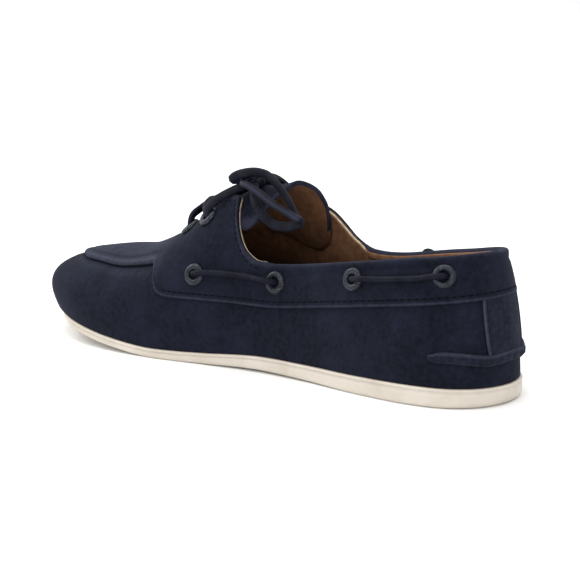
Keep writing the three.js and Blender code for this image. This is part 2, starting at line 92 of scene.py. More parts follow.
# Side lines: at is a share of soleLength, height of collarHeight
topLineMedial = table(
    "at height",
    (-0.040, 0.970), (0.000, 0.970), (0.040, 0.966), (0.085, 0.944), (0.156, 0.907), (0.256, 0.842),
    (0.364, 0.773), (0.430, 0.744), (0.460, 0.733), (0.477, 0.757), (0.494, 0.805), (0.510, 0.890),
    (0.524, 0.990), (0.535, 1.085), (0.545, 1.180),
)
topLineLateral = table(
    "at height",
    (-0.040, 0.970), (0.000, 0.970), (0.040, 0.955), (0.085, 0.920), (0.136, 0.878), (0.193, 0.838),
    (0.251, 0.795), (0.300, 0.762), (0.345, 0.748), (0.385, 0.760), (0.407, 0.805), (0.427, 0.895),
    (0.448, 0.980), (0.490, 1.060), (0.545, 1.180),
)
topPieceEdge = table(
    "at height",
    (-0.040, 0.700), (0.000, 0.694), (0.030, 0.682), (0.072, 0.660), (0.200, 0.590), (0.309, 0.523),
    (0.420, 0.463), (0.504, 0.455), (0.580, 0.447), (0.630, 0.440), (0.650, 0.443), (0.664, 0.462),
    (0.674, 0.505), (0.686, 0.588), (0.700, 0.655),
)
heelBandLine = table(
    "at height",
    (-0.040, 0.400), (-0.006, 0.345), (0.000, 0.318), (0.013, 0.300), (0.036, 0.317), (0.063, 0.325),
    (0.090, 0.316),
)
heelSeamLine = table("at height", (0.010, 0.240), (0.022, 0.540), (0.034, 0.820))

# Outlines from above: half widths on each side of the ridge, as shares of their own width
apronShape = table(
    "at half",
    (0.600, 0.430), (0.690, 0.420), (0.743, 0.400), (0.808, 0.360), (0.862, 0.305), (0.897, 0.25),
    (0.925, 0.16), (0.937, 0.08), (0.941, 0.00),
)
throatShape = table(
    "at half",
    (0.500, 0.55), (0.545, 0.42), (0.600, 0.36), (0.645, 0.28), (0.674, 0.21), (0.684, 0.12), (0.686, 0.00),
)
tongueShape = table(
    "at medial lateral",
    (0.436, -0.38, 0.38), (0.440, -0.28, 0.50), (0.448, -0.07, 0.60), (0.458, 0.13, 0.68), (0.470, 0.28, 0.72),
    (0.487, 0.39, 0.75), (0.505, 0.455, 0.76), (0.530, 0.46, 0.76), (0.580, 0.41, 0.72), (0.650, 0.33, 0.52),
    (0.696, 0.25, 0.25), (0.712, 0.14, 0.14), (0.716, 0.00, 0.00),
)

sideEyelets = table("at height", (0.585, 0.602), (0.415, 0.623), (0.246, 0.729), (0.079, 0.817))
throatEyelets = table("at half", (0.648, 0.46), (0.592, 0.60))

# The bow's routes, as in the frame, in millimetres before the shoe was centred
knotCentre = (6.5, -8.5, 81.1)
looseLaces = {
    "lace_loop_medial": [
        (7.5, -14.2, 80.6), (8.2, -17.4, 80), (9, -18, 80.8), (10, -14.9, 83), (11.5, -7.7, 85.3),
        (12.5, 0.1, 86.4), (13, 6.2, 85.6), (15, 13, 82.5), (16.5, 20.2, 76.9), (17.5, 25.4, 70.3),
        (18, 28.7, 67.9), (18.5, 24.9, 66), (18.5, 18.7, 65), (18.5, 12.5, 65.9), (18.2, 7.1, 69.3),
        (16.5, 2, 74), (10.3, -4.1, 80),
    ],
    "lace_end_medial": [
        (10.5, -8.8, 80.6), (14.5, -6.2, 81), (18, -1.5, 81.2), (20.5, 7.9, 78.6), (21.8, 16.2, 75.3),
        (22.3, 24.6, 72.3), (22.5, 32.3, 69.6),
    ],
    "lace_loop_lateral": [
        (2, -13, 82.9), (-3, -16.6, 83.6), (-11, -18.2, 80.4), (-19, -19, 74.6), (-27, -19, 66.5),
        (-33, -17, 58.8), (-34, -13.5, 57.6), (-33, -10.5, 59.3), (-28, -9.5, 66.3), (-20, -9.7, 75),
        (-12, -9.4, 80), (-4, -6.8, 82), (3, -4.8, 81),
    ],
    "lace_end_lateral": [
        (2.8, -8.2, 83.2), (-2, -10.6, 83.8), (-6, -12.6, 82.8), (-10, -13.4, 81), (-16, -14.2, 77.6),
        (-22, -14.4, 72.4), (-27, -14.2, 66.8), (-30, -14, 62.2),
    ],
}

knotLow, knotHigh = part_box("lace_knot")
shift = (np.array(knotLow) + np.array(knotHigh)) * 500 - np.array(knotCentre)
metre = 0.001
probe = 0.02
lastRow = len(sections["at"]) - 1


def lengthwise(at):
    return (0.5 - np.asarray(at)) * size["soleLength"]


def runAlong(path):
    # How far along a path its points lie
    return np.concatenate([[0], np.cumsum(np.linalg.norm(np.diff(path, axis=0), axis=1))])


def pointsAt(lengths, run, path):
    return np.stack([np.interp(lengths, run, path[:, i]) for i in range(3)], -1)


def pieceName(node):
    # lace_loop_medial becomes laceLoopMedial
    first, *others = node.split("_")
    return first + "".join(word.title() for word in others)


# The last's surface. u runs through the sections, v from 0 at the feather line to 1 on the ridge.


def column(name, u, mirror=1.0):
    values = sections[name]
    padded = np.concatenate([mirror * values[2:0:-1], values, mirror * values[-2:-4:-1]])
    i = np.floor(u).astype(int)
    t = u - i
    a, b, c, d = (padded[i + 1 + k] for k in range(4))
    return b + 0.5 * t * (c - a + t * (2 * a - 5 * b + 4 * c - d + t * (3 * (b - c) + d - a)))


def ground(u):
    return np.maximum(0, column("rise", u)) * size["toeSpring"]


def soleTop(u):
    return ground(u) + column("thick", u) * size["heelThickness"]


def feather(u, side):
    x = (column("middle", u) + side * column("half", u, -1.0)) * size["ballWidth"]
    return np.stack(np.broadcast_arrays(x, lengthwise(column("at", u))), -1)


def featherNormal(u, side):
    d = feather(u - probe, side) - feather(u + probe, side)
    n = np.stack([d[..., 1], -d[..., 0]], -1) * np.asarray(side)[..., None]
    return n / np.linalg.norm(n, axis=-1, keepdims=True)


def surface(u, side, v):
    u, side, v = np.broadcast_arrays(np.asarray(u, float), np.asarray(side, float), np.asarray(v, float))
    angle = v * math.pi / 2
    bulge = column("bulge", u) * size["ballWidth"] * np.sin(2 * angle)
    foot = feather(u, side) + featherNormal(u, side) * bulge[..., None]
    ridge = np.stack([column("ridge", u) * size["ballWidth"], lengthwise(column("crownAt", u))], -1)
    plan = foot + (ridge - foot) * (1 - np.cos(angle))[..., None]
    floor = soleTop(u) + size["gap"]
    height = floor + (column("crown", u) * size["instepHeight"] - floor) * np.sin(angle)
    return np.concatenate([plan, height[..., None]], -1)


def sideNormal(u, side, v):
    w = np.minimum(v, 1 - 2 * probe)
    along = surface(u + probe, side, w) - surface(u - probe, side, w)
    up = surface(u, side, w + probe) - surface(u, side, w - probe)
    n = np.cross(along, up) * -np.asarray(side)[..., None]
    return n / np.linalg.norm(n, axis=-1, keepdims=True)


def normal(u, side, v):
    u, side, v = (np.array(a, float) for a in np.broadcast_arrays(u, side, v))
    n = sideNormal(u, side, v)
    shared = (v >= 1) | (u <= 0) | (u >= lastRow)
    n[shared] += sideNormal(u[shared], -side[shared], v[shared])
    return n / np.linalg.norm(n, axis=-1, keepdims=True)


def shell(u, side, v, offset):
    return surface(u, side, v) + normal(u, side, v) * np.asarray(offset, float)[..., None]


def curveThrough(points):
    # Catmull-Rom through the points, uniform as the frame's side lines are
    p = np.asarray(points, float)
    ends = np.concatenate([p[:1], p, p[-1:]])
    t = np.linspace(0, 1, 12, endpoint=False)[:, None]
    parts = []
    for a, b, c, d in zip(ends, ends[1:], ends[2:], ends[3:]):
        parts.append(b + 0.5 * t * (c - a + t * (2 * a - 5 * b + 4 * c - d + t * (3 * (b - c) + d - a))))
    return np.concatenate(parts + [p[-1:]])


def lineAt(rows, name, at):
    line = curveThrough(np.stack([rows["at"], rows[name]], -1))
    order = np.argsort(line[:, 0])
    return np.interp(at, line[order, 0], line[order, 1])


def shareAt(points):
    return 0.5 - points[..., 1] / size["soleLength"]


def ridgeX(at):
    return np.interp(at, sections["at"], sections["ridge"]) * size["ballWidth"]


def smoothMax(a, b, reach):
    return np.maximum(a, b) + np.maximum(reach - np.abs(a - b), 0) ** 2 / (4 * reach)


def inPlan(points, rows, width, frontAt, backAt):
    # Positive inside an outline seen from above, in millimetres
    at = shareAt(points)
    half = lineAt(rows, "half", at) * width
    inside = half - np.abs(points[..., 0] - ridgeX(at))
    return np.minimum(inside, np.minimum(frontAt - at, at - backAt) * size["soleLength"])


def overOpening(points, side):
    # Positive where the collar and throat are open
    at = shareAt(points)
    line = np.where(side > 0, lineAt(topLineMedial, "height", at), lineAt(topLineLateral, "height", at))
    above = np.minimum(points[..., 2] - line * size["collarHeight"], (0.545 - at) * size["soleLength"])
    return smoothMax(above, inPlan(points, throatShape, size["throatWidth"], 0.686, 0.49), 1.0)


def overTopPiece(points, side):
    at = shareAt(points)
    above = points[..., 2] - lineAt(topPieceEdge, "height", at) * size["collarHeight"]
    above = np.minimum(above, (0.700 - at) * size["soleLength"])
    return smoothMax(above, inPlan(points, apronShape, size["apronWidth"], 0.941, 0.62), 1.5)


def firstCrossing(u, side, measure):
    # The lowest v of each column where measure turns positive, or 1
    v = np.linspace(0, 1, 400)
    grid = surface(u[:, None], side, v[None, :])
    value = measure(grid, np.full(grid.shape[:-1], float(side)))
    hit = (value[:, 1:] > 0) & (value[:, :-1] <= 0)
    first = np.argmax(hit, axis=1)
    rows = np.arange(len(u))
    low, high = value[rows, first], value[rows, first + 1]
    found = v[first] + (v[1] - v[0]) * low / (low - high + 1e-12)
    return np.where(hit.any(axis=1), np.clip(found, 0, 1), 1.0)


def findPlace(side, axes, wanted):
    # The place on the last whose two named coordinates (0 x, 1 y, 2 z) have the wanted values
    u, v = np.meshgrid(np.arange(1, lastRow, 0.25), np.arange(0.05, 1, 0.05), indexing="ij")
    miss = surface(u, side, v)[..., axes] - wanted
    best = np.unravel_index(np.argmin(np.hypot(miss[..., 0], miss[..., 1])), u.shape)
    place = np.array([u[best], v[best]])
    for _ in range(14):
        here = surface(place[0], side, place[1])[..., axes] - wanted
        byU = (surface(place[0] + 0.01, side, place[1])[..., axes] - wanted - here) / 0.01
        byV = (surface(place[0], side, place[1] + 0.01)[..., axes] - wanted - here) / 0.01
        place -= np.linalg.solve(np.stack([byU, byV], -1), here)
        place[1] = min(place[1], 1.0)
    return float(place[0]), side, float(place[1])


def placesAt(axes, targets, side):
    # (u, v) of many places whose two named coordinates have the target values
    side = np.broadcast_to(np.asarray(side, float), targets.shape[:-1])
    us, vs = np.meshgrid(np.linspace(0.3, lastRow - 0.3, 70), np.linspace(0.03, 0.97, 24), indexing="ij")
    u, v = np.zeros(side.shape), np.zeros(side.shape)
    for one in (1.0, -1.0):
        mine = side == one
        if mine.any():
            guide = surface(us, one, vs)[..., axes].reshape(-1, 2)
            near = np.argmin(((targets[mine][:, None, :] - guide[None]) ** 2).sum(-1), axis=1)
            u[mine], v[mine] = us.ravel()[near], vs.ravel()[near]
    step = 0.004
    for _ in range(12):
        miss = surface(u, side, v)[..., axes] - targets
        byU = (surface(u + step, side, v)[..., axes] - surface(u - step, side, v)[..., axes]) / (2 * step)
        byV = (surface(u, side, v + step)[..., axes] - surface(u, side, v - step)[..., axes]) / (2 * step)
        det = byU[..., 0] * byV[..., 1] - byV[..., 0] * byU[..., 1]
        det = np.where(np.abs(det) < 1e-3, 1e-3, det)
        du = (miss[..., 0] * byV[..., 1] - byV[..., 0] * miss[..., 1]) / det
        dv = (byU[..., 0] * miss[..., 1] - miss[..., 0] * byU[..., 1]) / det
        u = np.clip(u - np.clip(du, -0.3, 0.3), 0, lastRow)
        v = np.clip(v - np.clip(dv, -0.15, 0.15), 0, 1)
    return u, v


# Meshes


def meshObject(name, points, faces, materials, attributes=None, kinds=None, weld=0.02):
    # points in the last's millimetres, closed and turned outwards here
    points = (np.asarray(points, float).reshape(-1, 3) + shift) * metre
    mesh = bpy.data.meshes.new(name)
    mesh.from_pydata(points.tolist(), [], [tuple(int(i) for i in f) for f in faces])
    for key, values in (attributes or {}).items():
        layer = mesh.attributes.new(key, "FLOAT", "POINT")
        layer.data.foreach_set("value", np.ascontiguousarray(values, dtype=np.float32).ravel())
    if kinds is not None:
        mesh.polygons.foreach_set("material_index", np.asarray(kinds, dtype=np.int32))
    bm = bmesh.new()
    bm.from_mesh(mesh)
    bmesh.ops.remove_doubles(bm, verts=bm.verts, dist=weld * metre)
    bmesh.ops.dissolve_degenerate(bm, edges=bm.edges, dist=1e-7)
    bmesh.ops.delete(bm, geom=[v for v in bm.verts if not v.link_faces], context="VERTS")
    bmesh.ops.holes_fill(bm, edges=[e for e in bm.edges if e.is_boundary], sides=6)
    bmesh.ops.recalc_face_normals(bm, faces=bm.faces)
    oddEdges = sum(1 for e in bm.edges if len(e.link_faces) != 2)
    bm.to_mesh(mesh)
    bm.free()
    mesh.polygons.foreach_set("use_smooth", [True] * len(mesh.polygons))
    for material in materials:
        mesh.materials.append(material)
    piece = bpy.data.objects.new(name, mesh)
    scene.collection.objects.link(piece)
    print(f"{name}: {len(mesh.polygons)} faces, {oddEdges} open edges")
    return piece


def gridObject(name, grid, materials, attributes=None, **closing):
    grid = np.asarray(grid)
    return meshObject(name, grid.reshape(-1, 3), gridFaces(*grid.shape[:2], **closing), materials, attributes)


def finished(piece, slotName, *nodes):
    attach(piece, "root")
    if nodes:
        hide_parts(*nodes)
    return piece


def gridFaces(rows, columns, closeRows=False, closeColumns=False):
    r = np.arange(rows if closeRows else rows - 1)
    c = np.arange(columns if closeColumns else columns - 1)
    r, c = np.meshgrid(r, c, indexing="ij")
    r2, c2 = (r + 1) % rows, (c + 1) % columns
    return np.stack([r * columns + c, r2 * columns + c, r2 * columns + c2, r * columns + c2], -1).reshape(-1, 4)


def tubePoints(path, wide, thick, sides, up):
    # Rings along a path in millimetres, with a frame that turns as little as possible
    path = np.asarray(path, float)
    tangent = np.gradient(path, axis=0)
    tangent /= np.linalg.norm(tangent, axis=1, keepdims=True)
    normals = np.zeros_like(path)
    n = np.asarray(up, float)
    for i, t in enumerate(tangent):
        n = n - t * (n @ t)
        n /= np.linalg.norm(n)
        normals[i] = n
    across = np.cross(tangent, normals)
    angle = np.linspace(0, 2 * math.pi, sides, endpoint=False)
    wide, thick = (np.broadcast_to(np.asarray(a, float), len(path)) for a in (wide, thick))
    squareness = 0.8
    cosine = np.sign(np.cos(angle)) * np.abs(np.cos(angle)) ** squareness
    sine = np.sign(np.sin(angle)) * np.abs(np.sin(angle)) ** squareness
    rings = path[:, None] + across[:, None] * (wide[:, None] / 2 * cosine)[..., None]
    return rings + normals[:, None] * (thick[:, None] / 2 * sine)[..., None]


def capped(rings, inset):
    # Rings with rounded bare ends that close in one point
    def cap(ring, inner):
        centre = ring.mean(0)
        out = centre - inner.mean(0)
        out /= np.linalg.norm(out)
        return [centre + (ring - centre) * 0.8 + out * inset * 0.8, centre + (ring - centre) * 0.4 + out * inset,
                np.repeat((centre + out * inset)[None], len(ring), axis=0)]
    first = cap(rings[0], rings[1])[::-1]
    last = cap(rings[-1], rings[-2])
    return np.concatenate([np.array(first), rings, np.array(last)])


def throughPoints(points, spacing):
    # Centripetal curve with its end points extrapolated, evenly spaced, as the frame's laces run
    p = np.asarray(points, float)
    p = np.concatenate([[2 * p[0] - p[1]], p, [2 * p[-1] - p[-2]]])
    dense = []
    for a, b, c, d in zip(p, p[1:], p[2:], p[3:]):
        k = [max(np.linalg.norm(q - r) ** 0.5, 1e-4) for q, r in ((b, a), (c, b), (d, c))]
        m1 = (b - a) / k[0] - (c - a) / (k[0] + k[1]) + (c - b) / k[1]
        m2 = (c - b) / k[1] - (d - b) / (k[1] + k[2]) + (d - c) / k[2]
        t = np.linspace(0, 1, 24, endpoint=False)[:, None]
        m1, m2 = m1 * k[1], m2 * k[1]
        dense.append((2 * t**3 - 3 * t**2 + 1) * b + (t**3 - 2 * t**2 + t) * m1
                     + (3 * t**2 - 2 * t**3) * c + (t**3 - t**2) * m2)
    dense = np.concatenate(dense + [p[-2:-1]])
    return evenly(dense, spacing)


def evenly(points, spacing):
    run = runAlong(points)
    count = max(3, int(round(run[-1] / spacing)) + 1)
    return pointsAt(np.linspace(0, run[-1], count), run, points)


# Materials


def linear(red, green, blue):
    # The shader's values of a colour given from 0 to 255 as it looks
    parts = [c / 255 for c in (red, green, blue)]
    return tuple(c / 12.92 if c <= 0.04045 else ((c + 0.055) / 1.055) ** 2.4 for c in parts) + (1.0,)


class Surface:
    # A material's nodes, with short calls for the kinds that this shoe needs
    def __init__(self, name, roughness, **sockets):
        self.material = bpy.data.materials.new(name)
        self.material.use_nodes = True
        self.nodes = self.material.node_tree.nodes
        self.links = self.material.node_tree.links
        self.shader = self.nodes["Principled BSDF"]
        self.shader.inputs["Roughness"].default_value = roughness
        for key, value in sockets.items():
            self.shader.inputs[key.replace("_", " ")].default_value = value
        self.place = self.nodes.new("ShaderNodeTexCoord").outputs["Object"]

    def put(self, value, socket):
        if isinstance(value, bpy.types.NodeSocket):
            self.links.new(value, socket)
        else:
            socket.default_value = value

    def noise(self, scale, detail, roughness=0.55):
        node = self.nodes.new("ShaderNodeTexNoise")
        self.links.new(self.place, node.inputs["Vector"])
        node.inputs["Scale"].default_value = scale
        node.inputs["Detail"].default_value = detail
        node.inputs["Roughness"].default_value = roughness
        return node.outputs[0]

    def cells(self, scale):
        node = self.nodes.new("ShaderNodeTexVoronoi")
        node.inputs["Scale"].default_value = scale
        self.links.new(self.place, node.inputs["Vector"])
        return node.outputs["Distance"]

    def told(self, name):
        node = self.nodes.new("ShaderNodeAttribute")
        node.attribute_name = name
        return node.outputs["Fac"]

    def fit(self, value, low, high, toLow=0.0, toHigh=1.0):
        node = self.nodes.new("ShaderNodeMapRange")
        node.interpolation_type = "SMOOTHSTEP"
        given = {"Value": value, "From Min": low, "From Max": high, "To Min": toLow, "To Max": toHigh}
        for key, v in given.items():
            self.put(v, node.inputs[key])
        return node.outputs["Result"]

    def sum(self, kind, a, b):
        node = self.nodes.new("ShaderNodeMath")
        node.operation = kind
        self.put(a, node.inputs[0])
        self.put(b, node.inputs[1])
        return node.outputs[0]

    def mix(self, share, a, b):
        node = self.nodes.new("ShaderNodeMix")
        node.data_type = "RGBA"
        for socket in node.inputs:
            for key, value in (("Factor_Float", share), ("A_Color", a), ("B_Color", b)):
                if socket.identifier == key:
                    self.put(value, socket)
        return next(socket for socket in node.outputs if socket.identifier == "Result_Color")

    def color(self, value):
        self.put(value, self.shader.inputs["Base Color"])

    def rough(self, value):
        self.put(value, self.shader.inputs["Roughness"])

    def relief(self, *heights):
        # (height, strength, depth in metres) each, from coarse to fine
        last = None
        for height, strength, depth in heights:
            node = self.nodes.new("ShaderNodeBump")
            node.inputs["Strength"].default_value = strength
            node.inputs["Distance"].default_value = depth
            self.put(height, node.inputs["Height"])
            if last:
                self.links.new(last, node.inputs["Normal"])
            last = node.outputs["Normal"]
        self.links.new(last, self.shader.inputs["Normal"])


def nubuck(name, dark, light):
    # Matt brushed leather: patches of darker and lighter nap over a fine tooth
    leather = Surface(name, 0.95, Sheen_Weight=0.04, Sheen_Roughness=0.5, Specular_IOR_Level=0.1)
    leather.shader.inputs["Sheen Tint"].default_value = linear(190, 196, 220)
    patches = leather.fit(leather.noise(55, 4, 0.62), 0.36, 0.68)
    nap = leather.fit(leather.noise(420, 3, 0.7), 0.3, 0.72)
    tone = leather.mix(leather.sum("MULTIPLY", patches, 0.75), linear(*dark), linear(*light))
    tone = leather.mix(leather.sum("MULTIPLY", nap, 0.35), tone, linear(*(c * 1.35 for c in light)))
    # Lighter where worn is set: rubbed edges, and painted highlights on crests, rims and lit tops
    patchy = leather.fit(leather.noise(420, 2), 0.25, 0.75, 0.5, 0.85)
    worn = leather.sum("MULTIPLY", leather.told("worn"), patchy)
    tone = leather.mix(worn, tone, linear(66, 68, 84))
    tone = leather.mix(leather.told("shade"), tone, linear(14, 16, 26))
    leather.color(tone)
    leather.relief((leather.noise(150, 4, 0.6), 0.35, 0.0006), (leather.noise(1500, 2, 0.7), 0.4, 0.0002))
    return leather.material


navyNubuck = nubuck("navyNubuck", (11, 13, 22), (24, 27, 40))
bandNubuck = nubuck("bandNubuck", (16, 18, 28), (34, 37, 50))


def makeLining():
    # Smooth tan leather, with painted shade that makes it darker down inside
    leather = Surface("tanLining", 0.55, Specular_IOR_Level=0.35)
    grain = leather.noise(300, 4, 0.6)
    tone = leather.mix(leather.fit(leather.noise(40, 3), 0.35, 0.68), linear(112, 78, 56), linear(134, 98, 74))
    tone = leather.mix(leather.sum("MULTIPLY", leather.fit(grain, 0.3, 0.7), 0.25), tone, linear(196, 146, 104))
    tone = leather.mix(leather.told("shade"), tone, linear(36, 20, 12))
    leather.color(tone)
    leather.relief((grain, 0.3, 0.0003), (leather.cells(1100), 0.2, 0.0002))
    return leather.material


def makeRawEdge():
    edge = Surface("creamEdge", 0.75)
    tone = edge.mix(edge.fit(edge.noise(500, 3), 0.35, 0.65), linear(160, 142, 116), linear(196, 182, 156))
    edge.color(tone)
    edge.relief((edge.noise(1500, 3), 0.5, 0.0002))
    return edge.material


def makeRubber():
    # Warm off-white rubber with faint handling marks and a satin side
    rubber = Surface("paleRubber", 0.5, Specular_IOR_Level=0.4)
    tone = rubber.mix(rubber.fit(rubber.noise(30, 4, 0.6), 0.4, 0.7), linear(206, 198, 186), linear(190, 181, 167))
    specks = rubber.fit(rubber.noise(700, 2, 0.6), 0.68, 0.78, 0.0, 0.35)
    tone = rubber.mix(specks, tone, linear(176, 168, 154))
    rubber.color(tone)
    rubber.rough(rubber.fit(rubber.noise(120, 3), 0.3, 0.7, 0.42, 0.6))
    rubber.relief((rubber.noise(90, 3), 0.15, 0.0005), (rubber.noise(1400, 2), 0.25, 0.00012))
    return rubber.material


def makeMetal():
    metal = Surface("eyeletMetal", 0.42, Metallic=0.5, Specular_IOR_Level=0.45)
    tone = metal.mix(metal.fit(metal.noise(300, 4, 0.7), 0.35, 0.65), linear(17, 19, 25), linear(36, 41, 50))
    specks = metal.fit(metal.cells(1600), 0.12, 0.3, 1.0, 0.0)
    tone = metal.mix(metal.sum("MULTIPLY", specks, 0.6), tone, linear(124, 132, 148))
    metal.color(tone)
    metal.rough(metal.fit(metal.noise(500, 3), 0.3, 0.7, 0.28, 0.5))
    metal.relief((metal.noise(900, 3, 0.7), 0.3, 0.00015))
    return metal.material


def makeLace():
    # Smooth navy leather lace with a painted highlight along one flank
    lace = Surface("navyLace", 0.65, Specular_IOR_Level=0.12)
    patches = lace.fit(lace.noise(140, 4, 0.6), 0.35, 0.68)
    tone = lace.mix(patches, linear(8, 9, 19), linear(19, 21, 36))
    # Painted highlight along the lit flank
    tone = lace.mix(lace.sum("MULTIPLY", lace.told("flank"), 0.75), tone, linear(46, 47, 66))
    lace.color(tone)
    lace.relief((lace.noise(260, 3), 0.3, 0.0004), (lace.cells(900), 0.25, 0.0002))
    return lace.material


def makeThread():
    thread = Surface("navyThread", 0.85, Specular_IOR_Level=0.05)
    thread.color(thread.mix(thread.fit(thread.noise(900, 2), 0.3, 0.7), linear(4, 5, 9), linear(12, 13, 20)))
    thread.relief((thread.noise(2500, 2), 0.5, 0.00015))
    return thread.material


tanLining, creamEdge, paleRubber = makeLining(), makeRawEdge(), makeRubber()
eyeletMetal, navyLace, navyThread = makeMetal(), makeLace(), makeThread()

# Camera, light and floor

shot = {"azimuth": 129.3, "elevation": 12.0, "distance": 0.9, "target": (0, 0, 0.033), "lens": 123.2,
        "shift": (0.0207, -0.0081)}
a, e = math.radians(shot["azimuth"]), math.radians(shot["elevation"])
back = Vector((math.sin(a) * math.cos(e), -math.cos(a) * math.cos(e), math.sin(e)))
camera = bpy.data.objects.new("camera", bpy.data.cameras.new("camera"))
scene.collection.objects.link(camera)
camera.location = Vector(shot["target"]) + back * shot["distance"]
camera.rotation_mode = "QUATERNION"
camera.rotation_quaternion = (-back).to_track_quat("-Z", "Y")
camera.data.lens = shot["lens"]
camera.data.shift_x, camera.data.shift_y = shot["shift"]
camera.data.clip_start = 0.01
scene.camera = camera
scene.view_settings.view_transform = "Standard"

light = {
    "overhead": ((0.0, -0.3, 1.5), (1.6, 1.6), 15.0),
    "front": ((1.4, 0.6, 0.9), (1.2, 1.2), 6.0),
    "toe": ((0.3, -1.5, 0.9), (1.0, 1.0), 9.0),
}
for name, (place, spread, power) in light.items():
    lamp = bpy.data.lights.new(name, "AREA")
    lamp.shape = "RECTANGLE"
    lamp.size, lamp.size_y = spread
    lamp.energy = power
    lampObject = bpy.data.objects.new(name, lamp)
    lampObject.location = place
    lampObject.rotation_mode = "QUATERNION"
    lampObject.rotation_quaternion = Vector((-place[0], -place[1], 0.03 - place[2])).to_track_quat("-Z", "Y")
    scene.collection.objects.link(lampObject)
world = bpy.data.worlds.new("softStudio")
world.use_nodes = True
world.node_tree.nodes["Background"].inputs["Color"].default_value = (1, 1, 1, 1)
world.node_tree.nodes["Background"].inputs["Strength"].default_value = 1.0
scene.world = world

paper = Surface("palePaper", 0.8, Specular_IOR_Level=0.1)
paper.color(linear(246, 246, 246))
floorMesh = bpy.data.meshes.new("floor")
floorMesh.from_pydata([(-9, -9, 0), (9, -9, 0), (9, 9, 0), (-9, 9, 0)], [], [(0, 1, 2, 3)])
floorMesh.materials.append(paper.material)
floorObject = bpy.data.objects.new("floor", floorMesh)
scene.collection.objects.link(floorObject)
print("camera, light and floor set")

# The bow: cords first. Loops end in the knot, ends are cut off bare.

bow = {"wide": 4.4, "thick": 2.7, "sides": 20, "spacing": 0.9, "capInset": 0.35}


def strip(path, wide, thick, up=(0, 0, 1)):
    # One lace in millimetres as rings, with how far each point is on its lit flank, where the lace is painted
    # lighter as a highlight
    rings = capped(tubePoints(path, wide, thick, bow["sides"], up), bow["capInset"])
    turn = np.linspace(0, 2 * math.pi, bow["sides"], endpoint=False)
    flank = np.clip(1 - np.abs(np.angle(np.exp(1j * (turn - 0.55)))) / 0.5, 0, 1)
    return rings, np.broadcast_to(flank, rings.shape[:2])


def laceMesh(name, strips):
    points, faces, flank, base = [], [], [], 0
    for rings, shade in strips:
        faces.append(gridFaces(*rings.shape[:2], closeColumns=True) + base)
        points.append(rings.reshape(-1, 3))
        flank.append(shade.ravel())
        base += len(points[-1])
    return meshObject(name, np.concatenate(points), np.concatenate(faces), [navyLace],
                      {"flank": np.concatenate(flank)}, weld=0.005)


knotStrips = []
centre = np.array(knotCentre)
for turn, (reach, rise, along) in enumerate(((3.3, 1.5, -3.2), (3.5, 1.7, 0.6), (3.2, 1.4, 4.0))):
    around = np.linspace(0, 2 * math.pi, 40)
    slant = (0.9 - 0.5 * turn) * np.cos(around)
    ring = np.stack([reach * np.cos(around), along + slant, rise * np.sin(around)], -1)
    knotStrips.append(strip(centre + ring[:-1], 3.7, 2.4, (0, 1, 0.1)))
arched = 0.5 * np.sin(np.linspace(0, 3.1, 20))
core = np.stack([np.linspace(-0.8, 1.0, 20), np.linspace(-6.2, 6.2, 20), arched], -1)
knotStrips.append(strip(centre + core, 4.6, 3.6))
knot = finished(laceMesh("laceKnot", knotStrips), "lace", "lace_knot")

for name, route in looseLaces.items():
    path = throughPoints(route, bow["spacing"])
    taper = np.clip(np.arange(len(path)) / 4, 0.8, 1)
    piece = laceMesh(pieceName(name), [strip(path, bow["wide"] * taper, bow["thick"] * taper)])
    finished(piece, "lace", name)
    line = (path + shift) * metre
    run = float(np.linalg.norm(np.diff(line, axis=0), axis=1).sum())
    "knot" if "loop" in name else "bare"
    print(f"{name}: {run:.4f} m")

# Columns over the last, closer together where the edges turn quickly

weave = {"spacing": 1.25, "throatFrom": 0.435, "throatTo": 0.565, "tipFrom": 0.62, "tipTo": 0.705,
         "toeFrom": 0.885, "throatMore": 1.3, "tipMore": 1.8, "toeMore": 0.9}


def lastColumns():
    u = np.linspace(0, lastRow, 6000)
    side = feather(u, 1.0)
    step = np.linalg.norm(np.diff(side, axis=0), axis=1)
    at = column("at", (u[1:] + u[:-1]) / 2)
    dense = 1 + weave["throatMore"] * ((at > weave["throatFrom"]) & (at < weave["throatTo"]))
    dense = dense + weave["tipMore"] * ((at > weave["tipFrom"]) & (at < weave["tipTo"]))
    dense = dense + weave["toeMore"] * (at > weave["toeFrom"])
    run = np.concatenate([[0], np.cumsum(step * dense)])
    return np.interp(np.linspace(0, run[-1], int(run[-1] / weave["spacing"])), run, u)


columns = lastColumns()
grain = np.linspace(0, 1, 500)


def lengthsUp(u, side):
    # How far up each column its sampled v values lie, in millimetres
    points = surface(u[:, None], side, grain[None, :])
    steps = np.linalg.norm(np.diff(points, axis=1), axis=2)
    return np.concatenate([np.zeros((len(u), 1)), np.cumsum(steps, axis=1)], axis=1)


def rowsBetween(u, side, low, high, edges, count):
    # v of rows from low to high: a few close to each end, at set distances, and count evenly between
    runs = lengthsUp(u, side)
    rows = []
    for run, a, b in zip(runs, low, high):
        start, to = np.interp([a, b], grain, run)
        span = to - start
        near = np.array(edges) * min(1, span / (4 * edges[-1]))
        middle = np.linspace(near[-1], span - near[-1], count + 2)[1:-1]
        rows.append(np.interp(start + np.concatenate([near, middle, span - near[::-1]]), run, grain))
    return np.array(rows).T


